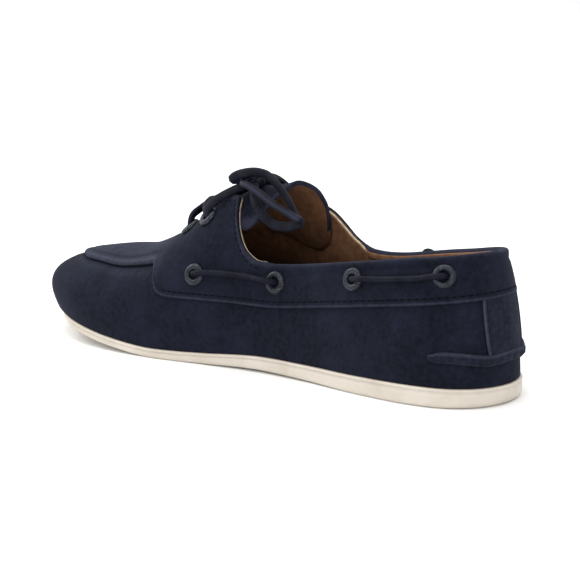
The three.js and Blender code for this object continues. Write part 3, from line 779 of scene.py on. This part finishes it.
def joinedSides(name, made, skips, materials, kinds, attributes):
    # Both halves of a shell: made[side] is (stations, columns, 3), closed round the stations
    points, faces, faceKinds, told, base = [], [], [], {key: [] for key in attributes}, 0
    for end in (0, -1):
        shared = (made[1][:, end] + made[-1][:, end]) / 2
        made[1][:, end] = made[-1][:, end] = shared
    for side in (1, -1):
        grid = made[side]
        stations, count = grid.shape[:2]
        quads = gridFaces(stations, count, closeRows=True)
        keep = ~skips[side].ravel()
        quads = quads[keep]
        faces.append((quads if side > 0 else quads[:, ::-1]) + base)
        faceKinds.append(np.repeat(kinds, count - 1)[keep])
        points.append(grid.reshape(-1, 3))
        for key, values in attributes.items():
            told[key].append(np.broadcast_to(values[side], grid.shape[:2]).ravel())
        base += stations * count
    return meshObject(name, np.concatenate(points), np.concatenate(faces), materials,
                      {key: np.concatenate(v) for key, v in told.items()}, np.concatenate(faceKinds))


def rampUp(value, low, high):
    t = np.clip((value - low) / (high - low), 0, 1)
    return t * t * (3 - 2 * t)


def bump(value, middle, width):
    return np.exp(-((value - middle) / width) ** 2)


def collarShare(at, side):
    # 1 along the rolled collar, 0 along the raw edges of the throat
    return np.where(side > 0, 1 - rampUp(at, 0.425, 0.452), 1 - rampUp(at, 0.370, 0.400))


def apronShare(at):
    return rampUp(at, 0.655, 0.700)


def gathers(points, period):
    # A wave that runs along the apron's seam, round its front as well
    at = shareAt(points)
    x = points[..., 0] - ridgeX(at)
    y = points[..., 1] - lengthwise(apronSeam["bendsAt"])
    front = apronSeam["frontRadius"]
    run = np.where(y < 0, front * np.arctan2(np.abs(x), -y), front * math.pi / 2 + y)
    drift = 0.8 * np.sin(run * 0.21 + np.sign(x)) + 0.5 * np.sin(run * 0.53 + 2 * np.sign(x))
    return np.cos(2 * math.pi * (run + drift) / period)


apronSeam = {"period": 4.6, "lip": 0.24, "lipAt": 0.9, "groove": 0.6, "pucker": 0.1,
             "bendsAt": 0.85, "frontRadius": 19.0}
folds = {"edgeRidge": 0.18, "stitchAt": 2.1, "stitchGroove": 0.32, "roll": 0.6, "drop": 1.9,
         "upperBelow": 1.4, "rollReach": 1.5, "pastWall": 0.45, "turnedDown": (1.2, 2.4, 2.6, 3.2),
         "tucked": -0.9}


def collarDrop(at, side):
    # The rolled collar's crest lies on the top line, so its edge starts below it
    return folds["drop"] * collarShare(at, side)


def topRelief(points, side):
    at, seam, rim = shareAt(points), overTopPiece(points, side), -overOpening(points, side)
    apron, collar = apronShare(at), collarShare(at, side)
    wave = gathers(points, apronSeam["period"])
    fold = folds["edgeRidge"] * bump(seam, 0.7, 0.4) - folds["stitchGroove"] * bump(seam, folds["stitchAt"], 0.45)
    lip = apronSeam["lip"] * bump(seam, apronSeam["lipAt"], 0.8) * (1 + 0.14 * wave)
    lip = lip - 0.2 * bump(seam, 3.6, 1.1) * (1 - 0.3 * wave)
    roll = folds["roll"] * bump(rim, 1.6, 1.7) - 0.35 * bump(rim, 5.0, 0.8)
    seamed = -0.25 * bump(rim, 2.4, 0.45) * (at < 0.69)
    return (1 - apron) * fold + apron * lip + collar * roll + (1 - collar) * seamed


def upperRelief(points, side):
    at, out = shareAt(points), -overTopPiece(points, side)
    wave = gathers(points, apronSeam["period"])
    pulled = apronSeam["pucker"] * bump(out, 3.0, 2.4) * wave + 0.2 * bump(out, 4.2, 2.4)
    return apronShare(at) * (pulled - apronSeam["groove"] * bump(out, 0.0, 0.8))


def edgesOf(u):
    # Where the opening and the top piece's edge cross each column, for both sides
    found = {}
    for side in (1, -1):
        top = firstCrossing(u, side, overOpening)
        low = np.minimum(firstCrossing(u, side, overTopPiece), top)
        found[side] = low, top
    return found


edges = edgesOf(columns)
throatTip = max(np.max(columns[edges[side][1] < 1]) for side in (1, -1))
for side in (1, -1):
    edges[side][1][columns > throatTip] = 1.0


def movedUp(u, side, v, distance):
    # v after going up (or down) its column by a distance in millimetres
    runs = lengthsUp(u, side)
    distance = np.broadcast_to(distance, v.shape)
    return np.array([np.interp(np.interp(b, grain, run) + d, run, grain) for run, b, d in zip(runs, v, distance)])


def buildUpper():
    wall = size["upperWall"]
    made, skips, worn, shade = {}, {}, {}, {}
    for side in (1, -1):
        top = edges[side][1]
        closed = top >= 1
        at = column("at", columns)
        sunk = (folds["upperBelow"] + folds["drop"]) * collarShare(at, side)
        recess = movedUp(columns, side, top, -sunk * ~closed)
        outer = rowsBetween(columns, side, np.zeros(len(columns)), recess, [0, 0.35, 0.9, 1.8, 3.0], 40)
        turn = np.linspace(0, math.pi, 7)[1:-1]
        rim = [movedUp(columns, side, recess, wall / 2 * math.sin(t) * ~closed) for t in turn]
        inner = rowsBetween(columns, side, np.zeros(len(columns)), recess, [0, 1.0, 3.0], 16)[::-1]
        v = np.concatenate([outer, rim, inner])
        base = surface(columns[None], side, v)
        offset = np.zeros(v.shape)
        offset[:len(outer)] = upperRelief(base[:len(outer)], float(side))
        for i, t in enumerate(turn):
            offset[len(outer) + i] = -wall / 2 + wall / 2 * math.cos(t)
        offset[len(outer) + len(rim):] = -wall
        made[side] = base + normal(columns[None], side, v) * offset[..., None]
        skip = np.zeros((len(v), len(columns) - 1), bool)
        skip[len(outer) - 1:len(outer) + len(rim)] = (closed[:-1] & closed[1:])[None]
        skips[side] = skip
        out = -overTopPiece(base, float(side))
        lining = np.arange(len(v))[:, None] >= len(outer)
        seamShade = apronShare(shareAt(base)) * bump(out, 0.2, 1.0) * 0.85
        # Painted highlight: a faint lighter band over the raised vamp just below the apron seam
        worn[side] = np.where(lining, 0, apronShare(shareAt(base)) * bump(out, 3.6, 2.0) * 0.15)
        shade[side] = np.where(lining, 1 - rampUp(base[..., 2], 26, 56), seamShade)
    kinds = [0] * len(outer) + [0, 1, 1, 2] + [2] * (len(inner) + 1)
    return joinedSides("upperBody", made, skips, [navyNubuck, creamEdge, tanLining], kinds,
                       {"worn": worn, "shade": shade})


def buildTopPiece():
    foot, outside = size["gap"], size["gap"] + size["overlay"]
    made, skips, worn, shade = {}, {}, {}, {}
    for side in (1, -1):
        low, top = edges[side]
        closed, gone = top >= 1, low >= 1
        collar = collarShare(column("at", columns), side)
        top = movedUp(columns, side, top, -collarDrop(column("at", columns), side) * ~closed)
        half, middle = (outside - foot) / 2, (outside + foot) / 2
        turn = np.linspace(0, math.pi, 7)[:-1]
        lowRim = [movedUp(columns, side, low, -half * math.sin(t) * ~gone) for t in turn]
        outer = rowsBetween(columns, side, low, top, [0, 0.35, 0.9, 1.5, 2.1, 2.8, 3.8], 30)
        inside = -size["upperWall"] - folds["pastWall"]
        rimHalf = (outside - (foot * (1 - collar) + inside * collar)) / 2
        reach = half * (1 - collar) + folds["rollReach"] * collar
        over = np.linspace(math.pi, 0, 12)[1:]
        topRim = [movedUp(columns, side, top, reach * math.sin(t) * ~closed) for t in over]
        turned = [movedUp(columns, side, top, -d * collar * ~closed) for d in folds["turnedDown"]]
        inner = rowsBetween(columns, side, low, turned[-1], [0, 1.0], 6)[::-1]
        v = np.concatenate([lowRim, outer, topRim, turned, inner])
        base = surface(columns[None], side, v)
        offset = np.full(v.shape, foot)
        for i, t in enumerate(turn):
            offset[i] = middle - half * math.cos(t)
        span = slice(len(turn), len(turn) + len(outer))
        relief = topRelief(base[span], float(side))
        offset[span] = outside + relief
        for i, t in enumerate(over):
            lift = relief[-1] * (1 - math.cos(t)) / 2
            offset[span.stop + i] = outside - rimHalf - rimHalf * math.cos(t) + lift
        start = span.stop + len(over)
        for i, deep in enumerate((inside, inside, folds["tucked"], foot)):
            offset[start + i] = foot * (1 - collar) + deep * collar
        made[side] = base + normal(columns[None], side, v) * offset[..., None]
        skip = np.zeros((len(v), len(columns) - 1), bool)
        skip[span.stop - 1:start] = (closed[:-1] & closed[1:])[None]
        skip |= (gone[:-1] & gone[1:])[None]
        skips[side] = skip
        seam, rim = overTopPiece(base, float(side)), -overOpening(base, float(side))
        apron = apronShare(shareAt(base))
        # Lighter along the lower edge and the collar's rim, rubbed and with a painted highlight, and painted
        # highlight over the apron's top and its lip crest
        worn[side] = ((1 - apron) * bump(seam, 0.1, 0.35) * 0.55 + apron * (0.42 + 0.4 * bump(seam, 1.2, 0.9))
                      + 0.35 * bump(rim, 0.0, 1.6))
        shade[side] = 0.8 * (1 - apron) * bump(seam, 1.9, 0.5) + 0.5 * apron * bump(seam, 4.6, 1.0)
    crest = span.stop + 8
    kinds = [0] * crest + [1] * (len(v) - crest)
    return joinedSides("topPiece", made, skips, [navyNubuck, tanLining], kinds, {"worn": worn, "shade": shade})


finished(buildUpper(), "nubuck", "upper")
finished(buildTopPiece(), "nubuck", "top_piece")
print("upper and top piece built")


def sheetBetween(name, outerPoints, innerPoints, materials, attributes, kinds=None):
    # Two grids of the same shape whose borders lie on each other, as one closed sheet
    rows, count = outerPoints.shape[:2]
    quads = gridFaces(rows, count)
    faces = np.concatenate([quads, quads[:, ::-1] + rows * count])
    both = {key: np.concatenate([np.ravel(v[0]), np.ravel(v[1])]) for key, v in attributes.items()}
    points = np.concatenate([outerPoints.reshape(-1, 3), innerPoints.reshape(-1, 3)])
    return meshObject(name, points, faces, materials, both, kinds)


def rounded(distance, reach):
    # Share of the half thickness at a distance from a border
    t = np.clip(distance / reach, 0, 1)
    return np.sqrt(np.clip(1 - (1 - t) ** 2, 0, 1))


def crowded(count, close):
    # Values from 0 to 1 that crowd at both ends
    t = np.linspace(0, 1, count)
    return t + (close - 1) * 0.5 * (np.sin(2 * math.pi * t) / (2 * math.pi)) * 2


heelPanel = {"rows": 40, "columns": 60, "thick": 0.95, "stitchAt": 1.8, "overBand": 1.2, "underTopPiece": 1.4}


def heightOver(line, lift):
    # How far a point lies above a side line and a lift, in millimetres
    def measure(points, side):
        return points[..., 2] - lineAt(line, "height", shareAt(points)) * size["collarHeight"] - lift
    return measure


def heelPanelHalf(side, shares, rows):
    # (u, v) of one half: shares run from the back to the side seam, rows from the band to the top piece
    u = np.linspace(0, 3.2, 500)
    low = firstCrossing(u, side, heightOver(heelBandLine, heelPanel["overBand"]))
    high = firstCrossing(u, side, heightOver(topPieceEdge, heelPanel["underTopPiece"]))
    v = low[None] + (high - low)[None] * rows[:, None]
    points = surface(u[None], float(side), v)
    seamZ = heelSeamLine["height"] * size["collarHeight"]
    past = shareAt(points) - np.interp(points[..., 2], seamZ, heelSeamLine["at"])
    uSeam = u[np.argmax(past > 0, axis=1)]
    reach = uSeam[:, None] * shares[None]
    return reach, np.array([np.interp(row, u, vRow) for row, vRow in zip(reach, v)])


def buildHeelPanel():
    shares = 1 - (1 - np.linspace(0, 1, heelPanel["columns"])) ** 1.5
    rows = crowded(heelPanel["rows"], 0.3)
    uRight, vRight = heelPanelHalf(1, shares, rows)
    uLeft, vLeft = heelPanelHalf(-1, shares, rows)
    u = np.concatenate([uLeft[:, :0:-1], uRight], axis=1)
    v = np.concatenate([vLeft[:, :0:-1], vRight], axis=1)
    side = np.broadcast_to(np.where(np.arange(u.shape[1]) >= len(shares) - 1, 1.0, -1.0), u.shape)
    base, out = surface(u, side, v), normal(u, side, v)
    steps = np.cumsum(np.linalg.norm(np.diff(base, axis=1), axis=2), axis=1)
    steps = np.concatenate([np.zeros((len(rows), 1)), steps], axis=1)
    fromSeam = np.minimum(steps, steps[:, -1:] - steps)
    border = fromSeam.copy()
    border[[0, -1]] = 0
    half = heelPanel["thick"] / 2
    thick = half * rounded(border, half)
    relief = 0.22 * bump(fromSeam, 0.7, 0.5) - 0.25 * bump(fromSeam, heelPanel["stitchAt"], 0.4)
    relief = np.where(border <= 0, 0, relief)
    middle = size["gap"] + half
    outer = base + out * (middle + thick + relief)[..., None]
    inner = base + out * (middle - thick)[..., None]
    # Painted highlight along the panel's raised edges
    worn = bump(fromSeam, 0.2, 0.7) * 0.9
    shade = bump(fromSeam, heelPanel["stitchAt"], 0.4) * 0.5
    return sheetBetween("heelPanel", outer, inner, [bandNubuck], {"worn": (worn, worn), "shade": (shade, shade)})


finished(buildHeelPanel(), "nubuck", "heel_panel")

heelBand = {"end": 0.0905, "wide": 4.8, "thick": 2.0, "puckerEvery": 5.0, "pucker": 0.3, "sides": 28,
            "capInset": 0.6}


def buildHeelBand():
    uEnd = float(np.interp(heelBand["end"], sections["at"], np.arange(lastRow + 1.0)))
    rings, worn, shade = [], [], []
    line = []
    onBand = heightOver(heelBandLine, 0.0)
    for side in (1, -1):
        u = np.linspace(uEnd, 0, 150) if side > 0 else np.linspace(0, uEnd, 150)[1:]
        v = firstCrossing(u, side, onBand)
        line += [(a, side, b) for a, b in zip(u, v)]
    u, side, v = (np.array(a, float) for a in zip(*line))
    path = surface(u, side, v)
    run = runAlong(path)
    even = np.linspace(0, run[-1], 190)
    signed = np.interp(even, run, u * side)
    u, side, v = np.abs(signed), np.where(signed >= 0, 1.0, -1.0), np.interp(even, run, v)
    path, out = surface(u, side, v), normal(u, side, v)
    along = np.gradient(path, axis=0)
    along /= np.linalg.norm(along, axis=1, keepdims=True)
    up = np.cross(out, along)
    up *= np.sign(up[:, 2:3])
    fromEnd = np.minimum(even, even[-1] - even)
    grow = 0.62 + 0.38 * rampUp(fromEnd, 0, 5)
    wave = np.cos(2 * math.pi * (even + 0.9 * np.sin(even * 0.37)) / heelBand["puckerEvery"])
    turn = np.linspace(0, 2 * math.pi, heelBand["sides"], endpoint=False)
    for i in range(len(path)):
        cosine, sine = np.cos(turn), np.sin(turn)
        high = heelBand["wide"] / 2 * grow[i] * cosine
        deep = np.where(sine > 0, heelBand["thick"] * grow[i] * sine, 0.25 * sine)
        dent = heelBand["pucker"] * wave[i] * bump(cosine, -0.25, 0.5) * (sine > 0)
        lip = 0.35 * bump(cosine, 0.72, 0.2) * (sine > 0)
        rings.append(path[i] + up[i] * high[:, None] + out[i] * (size["gap"] + deep + dent + lip)[:, None])
        # Painted highlight on the band's raised upper lip
        worn.append(bump(cosine, 0.75, 0.25) * 0.55)
        shade.append(bump(cosine, 0.2, 0.18) * (sine > 0) * 0.35)
    rings = capped(np.array(rings), heelBand["capInset"])
    pad = [np.zeros(len(turn))] * 3
    told = {"worn": np.array(pad + worn + pad), "shade": np.array(pad + shade + pad)}
    return gridObject("heelBand", rings, [bandNubuck], told, closeColumns=True)


finished(buildHeelBand(), "nubuck", "heel_band")

tongueForm = {"rows": 110, "columns": 64, "thick": 2.2, "rim": 1.3, "rimDownTo": 58.0, "curl": 1.5,
              "top": 0.4365, "foot": 0.7155, "wave": 0.35}


def buildTongue():
    rows, count = tongueForm["rows"], tongueForm["columns"]
    atTop, atFoot = tongueForm["top"], tongueForm["foot"]
    share = np.linspace(0, 1, rows) ** 1.15
    at = atTop + (atFoot - atTop) * share
    w = crowded(count, 0.3)
    at, w = np.meshgrid(at, w, indexing="ij")
    left = lineAt(tongueShape, "lateral", at)
    right = lineAt(tongueShape, "medial", at)
    width = size["tongueWidth"]
    x = ridgeX(at) + (-left + (left + right) * w) * width
    side = np.where(x >= ridgeX(at), 1.0, -1.0)
    u, v = placesAt([0, 1], np.stack([x, lengthwise(at)], -1), side)
    base, out = surface(u, side, v), normal(u, side, v)
    fromSide = np.minimum(w, 1 - w) * (left + right) * width
    fromTop = (at - atTop) * size["soleLength"] * 1.2
    fromFoot = (atFoot - at) * size["soleLength"]
    border = np.minimum(np.minimum(fromSide, fromTop), fromFoot)
    half = tongueForm["thick"] / 2
    thick = half * rounded(border, half)
    middle = -(size["upperWall"] + size["gap"] + half)
    curl = tongueForm["curl"] * (1 - rampUp(fromTop, 0, 14)) * rampUp(x, -24, 4)
    wave = tongueForm["wave"] * np.sin(x * 0.42 + at * 60) * rampUp(fromTop, 0, 6) * (1 - rampUp(fromTop, 30, 60))
    outer = base + out * (middle + thick + curl + wave)[..., None]
    inner = base + out * (middle - thick + curl + wave)[..., None]
    # Lighter along the tongue's border: a rubbed edge with a painted highlight
    rimWearAndHighlight = bump(border, 1.2, 1.4) * 0.5
    # Painted shade on the tongue's lining side, darker further down inside the shoe
    deep = 1 - rampUp(base[..., 2], 38, 70)
    navyRim = ((border < tongueForm["rim"]) & (base[..., 2] > tongueForm["rimDownTo"]))[:-1, :-1].ravel()
    kinds = np.concatenate([np.zeros(navyRim.size, int), np.where(navyRim, 0, 1)])
    return sheetBetween("tongueLeaf", outer, inner, [navyNubuck, tanLining],
                        {"worn": (rimWearAndHighlight, rimWearAndHighlight), "shade": (deep * 0, deep)}, kinds)


finished(buildTongue(), "nubuck", "tongue")
print("heel pieces and tongue built")

# edgeRise is the rounded lower edge's height as a share of its width. The wall ends wallDown under the
# sole's top, and a half round lip and a ledge under the upper follow.
sole = {"across": 36, "tipBack": 4.5, "edgeRise": 0.9, "wallDown": 1.4, "wallSag": 0.05, "lipBack": 0.4,
        "lipWide": 0.5, "lipDown": 0.7, "lipHalf": 0.65, "ledge": -2.0, "ledgeDown": 0.05,
        "sipeEvery": 6.5, "sipeDeep": 0.45, "sipeWave": 2.2}
insole = {"across": 24, "clear": 0.35, "edge": ((0.0, 0.0), (0.0, 1.6), (0.5, 2.2), (1.6, 2.5)),
          "arch": 0.5, "wave": 0.15}


def buildSole():
    u = columns
    low, top = ground(u), soleTop(u)
    edge = column("edge", u) * size["heelThickness"]
    rise = edge * sole["edgeRise"]
    reach = size["soleReach"] - sole["tipBack"] * rampUp(column("at", u), 0.86, 1.0)
    halves = {}
    for side in (1, -1):
        out = featherNormal(u, float(side))
        foot = feather(u, float(side))
        stations = []
        for t in np.linspace(0, math.pi / 2, 7):
            stations.append((reach - edge * (1 - np.sin(t)), low + rise * (1 - np.cos(t))))
        for share in (0.25, 0.5, 0.75):
            level = low + rise + (top - sole["wallDown"] - low - rise) * share
            stations.append((reach - sole["wallSag"] * math.sin(share * math.pi), level))
        for t in np.linspace(0, math.pi, 6):
            lip = reach - sole["lipBack"] + sole["lipWide"] * math.sin(t) - sole["lipWide"] * (t > 3)
            stations.append((lip, top - sole["lipDown"] - sole["lipHalf"] * math.cos(t)))
        stations.append((np.full(len(u), sole["ledge"]), top - sole["ledgeDown"]))
        halves[side] = [np.concatenate([foot + out * np.asarray(r)[:, None], np.asarray(z)[:, None]], -1)
                        for r, z in stations]
    medial, lateral = halves[1], halves[-1]
    share = np.linspace(0, 1, sole["across"])[1:-1]
    topAcross = [medial[-1] * (1 - s) + lateral[-1] * s for s in share]
    bottom = []
    for s in share[::-1]:
        p = medial[0] * (1 - s) + lateral[0] * s
        inset = np.minimum(s, 1 - s)
        wave = p[:, 1] + sole["sipeWave"] * np.sin(p[:, 0] * 0.55)
        cut = bump(np.abs((wave / sole["sipeEvery"]) % 1 - 0.5), 0.0, 0.10)
        p[:, 2] += sole["sipeDeep"] * cut * rampUp(inset, 0.03, 0.10)
        bottom.append(p)
    ring = medial + topAcross + lateral[::-1] + bottom
    return gridObject("outsoleUnit", ring, [paleRubber], closeRows=True)


def buildInsole():
    u = columns
    reach = -(size["upperWall"] + insole["clear"])
    low = soleTop(u) + size["gap"]
    ring = []
    for side, order in ((1.0, 1), (-1.0, -1)):
        out, foot = featherNormal(u, side), feather(u, side)
        half = []
        for inward, up in insole["edge"]:
            half.append(np.concatenate([foot + out * (reach - inward), (low + up)[:, None]], -1))
        ring.append(half[::order])
    medial, lateral = ring
    fade = rampUp(np.minimum(column("at", u), 1 - column("at", u)), 0, 0.01)
    share = np.linspace(0, 1, insole["across"])[1:-1]
    top = []
    for s in share:
        p = medial[-1] * (1 - s) + lateral[0] * s
        wave = insole["wave"] * np.sin(p[:, 1] * 0.3 + 4 * s)
        p[:, 2] += fade * (insole["arch"] * math.sin(math.pi * s) ** 2 + wave)
        top.append(p)
    grid = np.array(medial + top + lateral + [lateral[-1] * (1 - s) + medial[0] * s for s in share])
    return gridObject("insoleBed", grid, [tanLining], {"shade": np.full(grid.shape[:2], 0.8)}, closeRows=True)


finished(buildSole(), "sole_rubber", "outsole")
finished(buildInsole(), "lining", "insole")
print("outsole and insole built")

eyelet = {"sides": 44, "profile": [
    (2.10, -1.5), (2.06, -0.4), (2.08, 1.6), (2.18, 2.3), (2.45, 2.75), (2.90, 3.05), (3.50, 3.18), (4.05, 3.10),
    (4.50, 2.86), (4.84, 2.50), (5.02, 2.10), (5.06, 1.80), (4.95, 1.62), (3.30, 1.66), (3.22, 1.2), (3.20, -1.5),
]}


def eyeletPlaces():
    places = {}
    for sideName, side in (("medial", 1), ("lateral", -1)):
        for i, (at, height) in enumerate(zip(sideEyelets["at"], sideEyelets["height"])):
            wanted = [lengthwise(at), height * size["collarHeight"]]
            places[f"eyelet_side_{sideName}_{i + 1}"] = findPlace(side, [1, 2], wanted)
        for i, (at, half) in enumerate(zip(throatEyelets["at"], throatEyelets["half"])):
            wanted = [float(ridgeX(at)) + side * half * size["throatWidth"], lengthwise(at)]
            places[f"eyelet_throat_{sideName}_{i + 1}"] = findPlace(side, [0, 1], wanted)
    return places


places = eyeletPlaces()


def placeFrame(place):
    u, side, v = (np.array(value) for value in place)
    out = normal(u, side, v)
    first = np.cross(out, [0, 0, 1.0])
    first /= np.linalg.norm(first)
    return surface(u, side, v), first, np.cross(out, first), out


def buildEyelet(name, place):
    origin, first, second, out = placeFrame(place)
    turn = np.linspace(0, 2 * math.pi, eyelet["sides"], endpoint=False)
    rings = []
    for radius, level in eyelet["profile"]:
        around = np.cos(turn)[:, None] * first + np.sin(turn)[:, None] * second
        rings.append(origin + radius * around + level * out)
    return gridObject(pieceName(name), rings, [eyeletMetal], closeRows=True, closeColumns=True)


for name, place in places.items():
    finished(buildEyelet(name, place), "eyelet_metal", name)
print("eyelets built")

# In arch, how far from its eyelet a side lace lies and how high over the last, from each end inwards
lacing = {"wide": 4.6, "thick": 2.5, "spacing": 0.8, "hidden": -3.0, "overFlange": 1.5, "overThroat": 4.6,
          "arch": [(0.0, -1.4), (0.0, -0.4), (0.6, 1.6), (2.1, 3.9), (4.6, 5.0), (7.4, 4.7), (10.5, 3.7),
                   (15.0, 3.4)]}


def along(place, other, share, offset):
    u, v = (place[i] + (other[i] - place[i]) * share for i in (0, 2))
    return shell(np.array(u), np.array(float(place[1])), np.array(v), np.array(offset))


def above(place, offset):
    return shell(*(np.array(float(k)) for k in place), np.array(float(offset)))


def buildBar(name, start, end):
    span = np.linalg.norm(along(start, end, 0, 0.0) - along(start, end, 1, 0.0))
    points = [along(start, end, d / span, z) for d, z in lacing["arch"]]
    points += [along(start, end, 1 - d / span, z) for d, z in lacing["arch"][::-1]]
    path = throughPoints(points, lacing["spacing"])
    out = placeFrame(start)[3]
    return laceMesh(name, [strip(path, lacing["wide"], lacing["thick"], np.cross(path[40] - path[0], out))])


for sideName in ("medial", "lateral"):
    for bar in (1, 2):
        start, end = (places[f"eyelet_side_{sideName}_{2 * bar - 1 + i}"] for i in (0, 1))
        node = f"lace_bar_{sideName}_{bar}"
        finished(buildBar(pieceName(node), start, end), "lace", node)


def overThroat(start, end, share, offset):
    a, b = (placeFrame(place)[0] for place in (start, end))
    x, y = (a + (b - a) * share)[:2]
    side = 1.0 if x > ridgeX(0.5 - y / size["soleLength"]) else -1.0
    u, v = placesAt([0, 1], np.array([[x, y]]), side)
    return shell(u, np.array([side]), v, offset)[0]


def buildCrossings():
    routes = []
    knotFoot = centre + np.array([0, 0, -1.2])
    for start, end, lift in (("medial_1", "lateral_2", 1.6), ("lateral_1", "medial_2", 0.2)):
        a, b = places[f"eyelet_throat_{start}"], places[f"eyelet_throat_{end}"]
        points = [above(a, lacing["hidden"]), above(a, lacing["overFlange"])]
        for share in (0.10, 0.22, 0.36, 0.5, 0.64, 0.78, 0.9):
            points.append(overThroat(a, b, share, lacing["overThroat"] + lift * math.sin(math.pi * share)))
        points += [above(b, lacing["overFlange"]), above(b, lacing["hidden"])]
        routes.append(points)
    for side in ("medial_2", "lateral_2"):
        origin, _, _, out = placeFrame(places[f"eyelet_throat_{side}"])
        towards = knotFoot - origin
        routes.append([origin - 3.0 * out, origin + 1.0 * out, origin + 4.6 * out + towards * 0.10,
                       origin + 5.2 * out + towards * 0.35, origin + 3.2 * out + towards * 0.7, knotFoot])
    return laceMesh("laceCrossings", [strip(throughPoints(route, lacing["spacing"]), lacing["wide"], lacing["thick"])
                                      for route in routes])


finished(buildCrossings(), "lace", "lace_crossings")
print("lacing built")

# Stitches follow the edges: each seam is a row of points that a node tree turns into thread

def seamRow(u, side, v, offset, every):
    # Evenly spaced places along a line on the last, with their direction and the way out
    path = shell(u, np.full(len(u), float(side)), v, offset)
    run = runAlong(path)
    even = np.arange(every / 2, run[-1], every)
    near = 0.6
    ahead = pointsAt(even + near, run, path) - pointsAt(even - near, run, path)
    ahead /= np.linalg.norm(ahead, axis=1, keepdims=True)
    out = normal(np.interp(even, run, u), float(side), np.interp(even, run, v))
    return pointsAt(even, run, path), ahead, out


def stitchTree():
    tree = bpy.data.node_groups.new("stitchRow", "GeometryNodeTree")
    face = tree.interface
    face.new_socket("Geometry", in_out="INPUT", socket_type="NodeSocketGeometry")
    for name in ("Stitch length", "Stitch width"):
        face.new_socket(name, in_out="INPUT", socket_type="NodeSocketFloat")
    face.new_socket("Geometry", in_out="OUTPUT", socket_type="NodeSocketGeometry")
    nodes, links = tree.nodes, tree.links
    given, result = nodes.new("NodeGroupInput"), nodes.new("NodeGroupOutput")
    ball = nodes.new("GeometryNodeMeshUVSphere")
    ball.inputs["Segments"].default_value = 8
    ball.inputs["Rings"].default_value = 6
    ball.inputs["Radius"].default_value = 0.5
    shape = nodes.new("ShaderNodeCombineXYZ")
    scaled = nodes.new("GeometryNodeTransform")
    turned = nodes.new("FunctionNodeAxesToRotation")
    turned.primary_axis, turned.secondary_axis = "X", "Z"
    instance = nodes.new("GeometryNodeInstanceOnPoints")
    smooth = nodes.new("GeometryNodeSetShadeSmooth")
    real, painted = nodes.new("GeometryNodeRealizeInstances"), nodes.new("GeometryNodeSetMaterial")
    painted.inputs["Material"].default_value = navyThread
    for name, socket in (("along", "Primary Axis"), ("out", "Secondary Axis")):
        told = nodes.new("GeometryNodeInputNamedAttribute")
        told.data_type = "FLOAT_VECTOR"
        told.inputs["Name"].default_value = name
        links.new(told.outputs["Attribute"], turned.inputs[socket])
    joins = (
        (given, "Stitch length", shape, "X"), (given, "Stitch width", shape, "Y"),
        (given, "Stitch width", shape, "Z"),
        (ball, "Mesh", scaled, "Geometry"), (shape, "Vector", scaled, "Scale"),
        (given, "Geometry", instance, "Points"), (scaled, "Geometry", instance, "Instance"),
        (turned, "Rotation", instance, "Rotation"), (instance, "Instances", smooth, "Geometry"),
        (smooth, "Geometry", real, "Geometry"), (real, "Geometry", painted, "Geometry"),
        (painted, "Geometry", result, "Geometry"),
    )
    for source, fromSocket, target, toSocket in joins:
        links.new(source.outputs[fromSocket], target.inputs[toSocket])
    return tree


def stitches(name, rows, tree, length, width):
    place, direction, out = (np.concatenate([row[i] for row in rows]) for i in range(3))
    seed = bpy.data.meshes.new(name + "Points")
    seed.from_pydata(((place + shift) * metre).tolist(), [], [])
    for key, values in (("along", direction), ("out", out)):
        layer = seed.attributes.new(key, "FLOAT_VECTOR", "POINT")
        layer.data.foreach_set("vector", np.ascontiguousarray(values, dtype=np.float32).ravel())
    holder = bpy.data.objects.new(name + "Row", seed)
    scene.collection.objects.link(holder)
    modifier = holder.modifiers.new("stitchRow", "NODES")
    modifier.node_group = tree
    given = {"Stitch length": length, "Stitch width": width}
    for item in tree.interface.items_tree:
        if item.item_type == "SOCKET" and item.name in given:
            modifier[item.identifier] = given[item.name] * metre
    evaluated = holder.evaluated_get(bpy.context.evaluated_depsgraph_get())
    mesh = bpy.data.meshes.new_from_object(evaluated)
    mesh.name = name
    bpy.data.objects.remove(holder)
    piece = bpy.data.objects.new(name, mesh)
    scene.collection.objects.link(piece)
    print(f"{name}: {len(place)} stitches")
    return piece


# Each seam follows the top piece's lower or upper edge between two places along the shoe. up is how far it
# lies above that edge, over how far above the last, every the spacing, long and wide the thread.
seams = {
    "edgeStitches": {"edge": "lower", "from": (0.0, 0.0), "to": 0.655, "up": 2.1, "over": 1.38,
                     "every": 3.3, "long": 2.4, "wide": 0.5},
    "throatStitches": {"edge": "upper", "from": (0.455, 0.41), "to": 0.682, "up": -2.5, "over": 1.45,
                       "every": 2.9, "long": 2.1, "wide": 0.5},
    "apronStitches": {"edge": "lower", "from": (0.715, 0.715), "to": 0.935, "up": -0.3, "over": 0.9,
                      "every": apronSeam["period"] / 2, "long": 1.7, "wide": 0.6},
}


def seamRows(seam):
    at = column("at", columns)
    rows = []
    for side, start in zip((1, -1), seam["from"]):
        edge = edges[side][("lower", "upper").index(seam["edge"])]
        v = movedUp(columns, side, edge, seam["up"])
        keep = (edge < 1) & (at >= start) & (at < seam["to"])
        rows.append(seamRow(columns[keep], side, v[keep], seam["over"], seam["every"]))
    return rows


tree = stitchTree()
for name, seam in seams.items():
    finished(stitches(name, seamRows(seam), tree, seam["long"], seam["wide"]), "nubuck")
print("stitches sewn")
